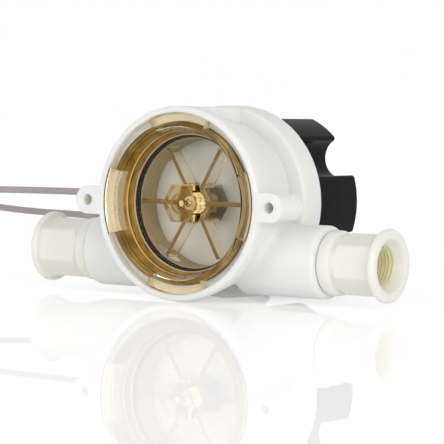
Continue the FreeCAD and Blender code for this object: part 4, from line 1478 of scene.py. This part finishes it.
    def tie(self) -> Piece:
        """A band round the turns that keeps them together.

        Returns:
            The piece.
        """
        sheet = bmesh.new()
        reach = self.radius_mm + self.tie_slack_mm
        middle = (self.coil_in_mm + self.coil_out_mm) / 2 * MM
        wide = ((self.coil_out_mm - self.coil_in_mm) / 2 + reach) * MM
        tall = (self.layer_mm + reach) * MM
        rise = (self.radius_mm + self.coil_lift_mm + self.layer_mm) * MM
        half, power, loops = self.tie_width_mm / 2 * MM, self.tie_square, []
        for grow in (0.0, self.tie_thick_mm * MM):
            for side in (-half, half):
                loop = []
                for i in range(self.tie_steps):
                    turn = 2 * math.pi * i / self.tie_steps
                    c, s = math.cos(turn), math.sin(turn)
                    bulge = (abs(c) ** power + abs(s) ** power) ** (-1.0 / power)
                    loop.append(sheet.verts.new((
                        middle + (wide + grow) * c * bulge, side, rise + (tall + grow) * s * bulge)))
                loops.append(loop)
        for a, b in ((0, 1), (1, 3), (3, 2), (2, 0)):
            for i in range(self.tie_steps):
                j = (i + 1) % self.tie_steps
                sheet.faces.new((loops[a][i], loops[a][j], loops[b][j], loops[b][i]))
        seat = Matrix.Translation((middle + wide + self.head_seat_mm * MM, 0, rise))
        size = Matrix.Diagonal((*(side * MM for side in self.head_mm), 1.0))
        head = bmesh.ops.create_cube(sheet, size=1.0, matrix=seat @ size)
        edges = list(dict.fromkeys(edge for vert in head["verts"] for edge in vert.link_edges))
        bmesh.ops.bevel(sheet, geom=edges, offset=self.head_round_mm * MM, segments=2, affect="EDGES",
                        profile=0.5)
        mesh = solid_mesh(sheet)
        center = spot(self.coil_x_mm, self.coil_y_mm, -AXIS_HEIGHT_MM)
        mesh.transform(Matrix.Translation(center) @ Matrix.Rotation(self.tie_turn, 4, "Z"))
        return settle(new_piece("coil_tie", mesh, [Finish.LEAD_BLACK]), Body.HOUSING)

    def copper(self) -> NodeTreeMaker:
        """The tree that bundles bare copper strands.

        Returns:
            The tree, closed. Its turn and place are set for each lead.
        """
        maker = NodeTreeMaker("bare strands", {
            "Strands": self.strands, "Bundle": self.bundle_r_mm * MM, "Strand": self.strand_r_mm * MM,
            "Length": self.bare_mm * MM, "Turn": 0.0, "Place": Vector(), "Finish": Finish.COPPER.material})
        sheet, given = maker.sheet, maker.given
        around = sheet.add("GeometryNodeMeshCircle", {
            "Vertices": given["Strands"], "Radius": given["Bundle"]})
        rod = sheet.add("GeometryNodeMeshCylinder", {
            "Vertices": self.strand_sides, "Radius": given["Strand"], "Depth": given["Length"]})
        rods = sheet.add("GeometryNodeInstanceOnPoints", {
            "Points": around.outputs[0], "Instance": rod.outputs[0]})
        half = sheet.math("MULTIPLY", given["Length"], 0.5)
        flat = sheet.moved(rods.outputs[0], sheet.vector(half), (0.0, math.pi / 2, 0.0))
        maker.end(sheet.moved(flat, given["Place"], sheet.vector(z=given["Turn"])), given["Finish"])
        return maker

    def leads(self) -> list[Piece]:
        """The three stripped leads with their copper.

        Returns:
            The pieces.
        """
        x, y = self.coil_x_mm - self.tail_mm, self.coil_y_mm + self.tail_side_mm
        low, thin = self.floor_mm, self.lead_r_mm - AXIS_HEIGHT_MM
        line = ((3, 0.14, low), (0, 0.14, low), (-6, 0.2, low - 0.2),
                (-12, 0.4, thin + 0.2), (-19, 0.76, thin))
        copper = self.copper()
        pieces = []
        wires = (("lead_plus", -self.lead_spread_mm, Finish.LEAD_RED),
                 ("lead_signal", 0.0, Finish.LEAD_WHITE),
                 ("lead_minus", self.lead_spread_mm, Finish.LEAD_BLACK))
        for node, spread, finish in wires:
            points = [spot(x + ahead, y + share * spread, z) for ahead, share, z in line]
            wire = self.strand("wire_" + node, points, self.lead_r_mm, finish)
            pieces.append(settle(wire, Body.HOUSING, [node]))
            last = points[-1] - points[-2]
            bare = new_piece("copper_" + node, copper.mesh(Turn=math.atan2(last.y, last.x), Place=points[-1]))
            pieces.append(settle(bare, Body.HOUSING))
        return pieces

    def build(self) -> Piece:
        """Make the cable and what is on it.

        Returns:
            The cable.
        """
        dress(Finish.GLAND, "cable_gland")
        self.ribs()
        points = self.route() + self.coil() + self.tail()
        cable = self.strand("sensor_cable", points, self.radius_mm, Finish.CABLE)
        settle(cable, Body.HOUSING, ["cable", "cable_coil", "cable_tail"])
        with_pieces = [self.tie(), *self.leads()]
        return cable


@dataclass(frozen=True)
class Lamp:
    """A rectangular soft lamp."""

    name: str
    place: tuple[float, float, float]
    size: Pair
    power: float

    def hang(self, aim: Vector) -> None:
        """Put the lamp in its place.

        Args:
            aim: the point that it faces.
        """
        light = bpy.data.lights.new(self.name, "AREA")
        light.shape = "RECTANGLE"
        light.size, light.size_y = self.size
        light.energy = self.power
        place = Vector(self.place)
        turn = (aim - place).to_track_quat("-Z", "Y").to_matrix().to_4x4()
        place_in_scene(self.name, light).matrix_world = Matrix.Translation(place) @ turn


@dataclass
class Studio:
    """Floor, light and camera."""

    azimuth_degrees: float = 34.272
    elevation_degrees: float = 2.705
    roll_degrees: float = 1.16
    distance: float = 1.2535
    target: Vector = field(default_factory=lambda: spot(9.785, 25.0, -9.0))
    focal_px: float = 2604.5
    image_px: float = 444.0
    sensor: float = 36.0
    clip: Pair = (0.05, 50.0)
    ambient: float = 0.63
    floor_half: float = 8.0
    floor_color: Color = (0.84, 0.84, 0.84)
    shine_color: Color = (0.95, 0.95, 0.95)
    shine_rough: float = 0.02
    lift: float = 0.345
    bounce: float = 0.12
    shine: float = 0.3
    lamp_aim: Vector = field(default_factory=lambda: spot(0, 25, 0))
    lamps: tuple[Lamp, ...] = (Lamp("key", (1.02, -0.66, 0.26), (0.7, 0.5), 3.9),
                               Lamp("left", (-0.3, -1.1, 0.24), (0.6, 0.45), 1.9))

    def axes(self) -> tuple[Vector, Vector, Vector]:
        """Directions of the camera.

        Returns:
            Its right, up and back.
        """
        turn, lift, roll = (math.radians(angle) for angle in (
            self.azimuth_degrees, self.elevation_degrees, self.roll_degrees))
        back = Vector((math.sin(turn) * math.cos(lift), -math.cos(turn) * math.cos(lift), math.sin(lift)))
        level = Vector((math.cos(turn), math.sin(turn), 0.0))
        rise = back.cross(level)
        right = level * math.cos(roll) + rise * math.sin(roll)
        up = rise * math.cos(roll) - level * math.sin(roll)
        return right, up, back

    def camera(self) -> None:
        """Place the camera at the photograph's angle."""
        right, up, back = self.axes()
        lens = bpy.data.cameras.new("camera")
        lens.sensor_width = self.sensor
        lens.lens = self.focal_px / self.image_px * self.sensor
        lens.clip_start, lens.clip_end = self.clip
        holder = place_in_scene("camera", lens)
        turn = Matrix((right, up, back)).transposed().to_4x4()
        holder.matrix_world = Matrix.Translation(self.target + back * self.distance) @ turn
        bpy.context.scene.camera = holder

    def seen(self, sheet: NodeSheet) -> Socket:
        """Rays that show the background: straight, mirrored or through glass.

        Args:
            sheet: the nodes of the floor or the world.

        Returns:
            1 for such rays, and 0 for the rest.
        """
        path = sheet.add("ShaderNodeLightPath").outputs
        mirrored = sheet.math("MAXIMUM", path["Is Glossy Ray"], path["Is Transmission Ray"])
        return sheet.math("MAXIMUM", path["Is Camera Ray"], mirrored)

    def sky(self) -> None:
        """An even white surround."""
        world = bpy.data.worlds.new("studio")
        world.use_nodes = True
        world.node_tree.nodes.clear()
        sheet = NodeSheet(world.node_tree)
        strength = sheet.spread(self.seen(sheet), target=(self.ambient, 1.0))
        light = sheet.add("ShaderNodeBackground", {"Color": WHITE, "Strength": strength})
        sheet.add("ShaderNodeOutputWorld", {"Surface": light.outputs[0]})
        bpy.context.scene.world = world

    def floor(self) -> None:
        """A white table top with a faint shine."""
        mesh = bpy.data.meshes.new("table")
        half = self.floor_half
        corners = [(-half, -half, 0), (half, -half, 0), (half, half, 0), (-half, half, 0)]
        mesh.from_pydata(corners, [], [range(4)])
        material, sheet = new_material("white table")
        matt = sheet.add("ShaderNodeBsdfDiffuse", {"Color": rgba(self.floor_color)})
        shine = sheet.add("ShaderNodeBsdfGlossy", {
            "Color": rgba(self.shine_color), "Roughness": self.shine_rough})
        top = sheet.add("ShaderNodeMixShader", {0: self.shine, 1: matt.outputs[0], 2: shine.outputs[0]})
        level = sheet.spread(self.seen(sheet), target=(self.bounce, self.lift))
        glow = sheet.add("ShaderNodeEmission", {"Strength": level})
        both = sheet.add("ShaderNodeAddShader", {0: top.outputs[0], 1: glow.outputs[0]})
        sheet.add("ShaderNodeOutputMaterial", {"Surface": both.outputs[0]})
        mesh.materials.append(material)
        place_in_scene("table", mesh)

    def build(self) -> None:
        """Set up the studio."""
        bpy.context.scene.view_settings.view_transform = "Standard"
        self.sky()
        self.floor()
        for lamp in self.lamps:
            lamp.hang(self.lamp_aim)
        self.camera()
        LOG.info("studio set")


def main() -> None:
    """Build every piece and set the studio."""
    logging.basicConfig(level=logging.INFO, format="%(name)s: %(message)s")
    Studio().build()
    Cable().build()
    Housing().dress()
    Lens().build()
    Rotor().build()
    for side in Side:
        Adapter(side).build()
    Knob().dress()


if __name__ == "__main__":
    main()
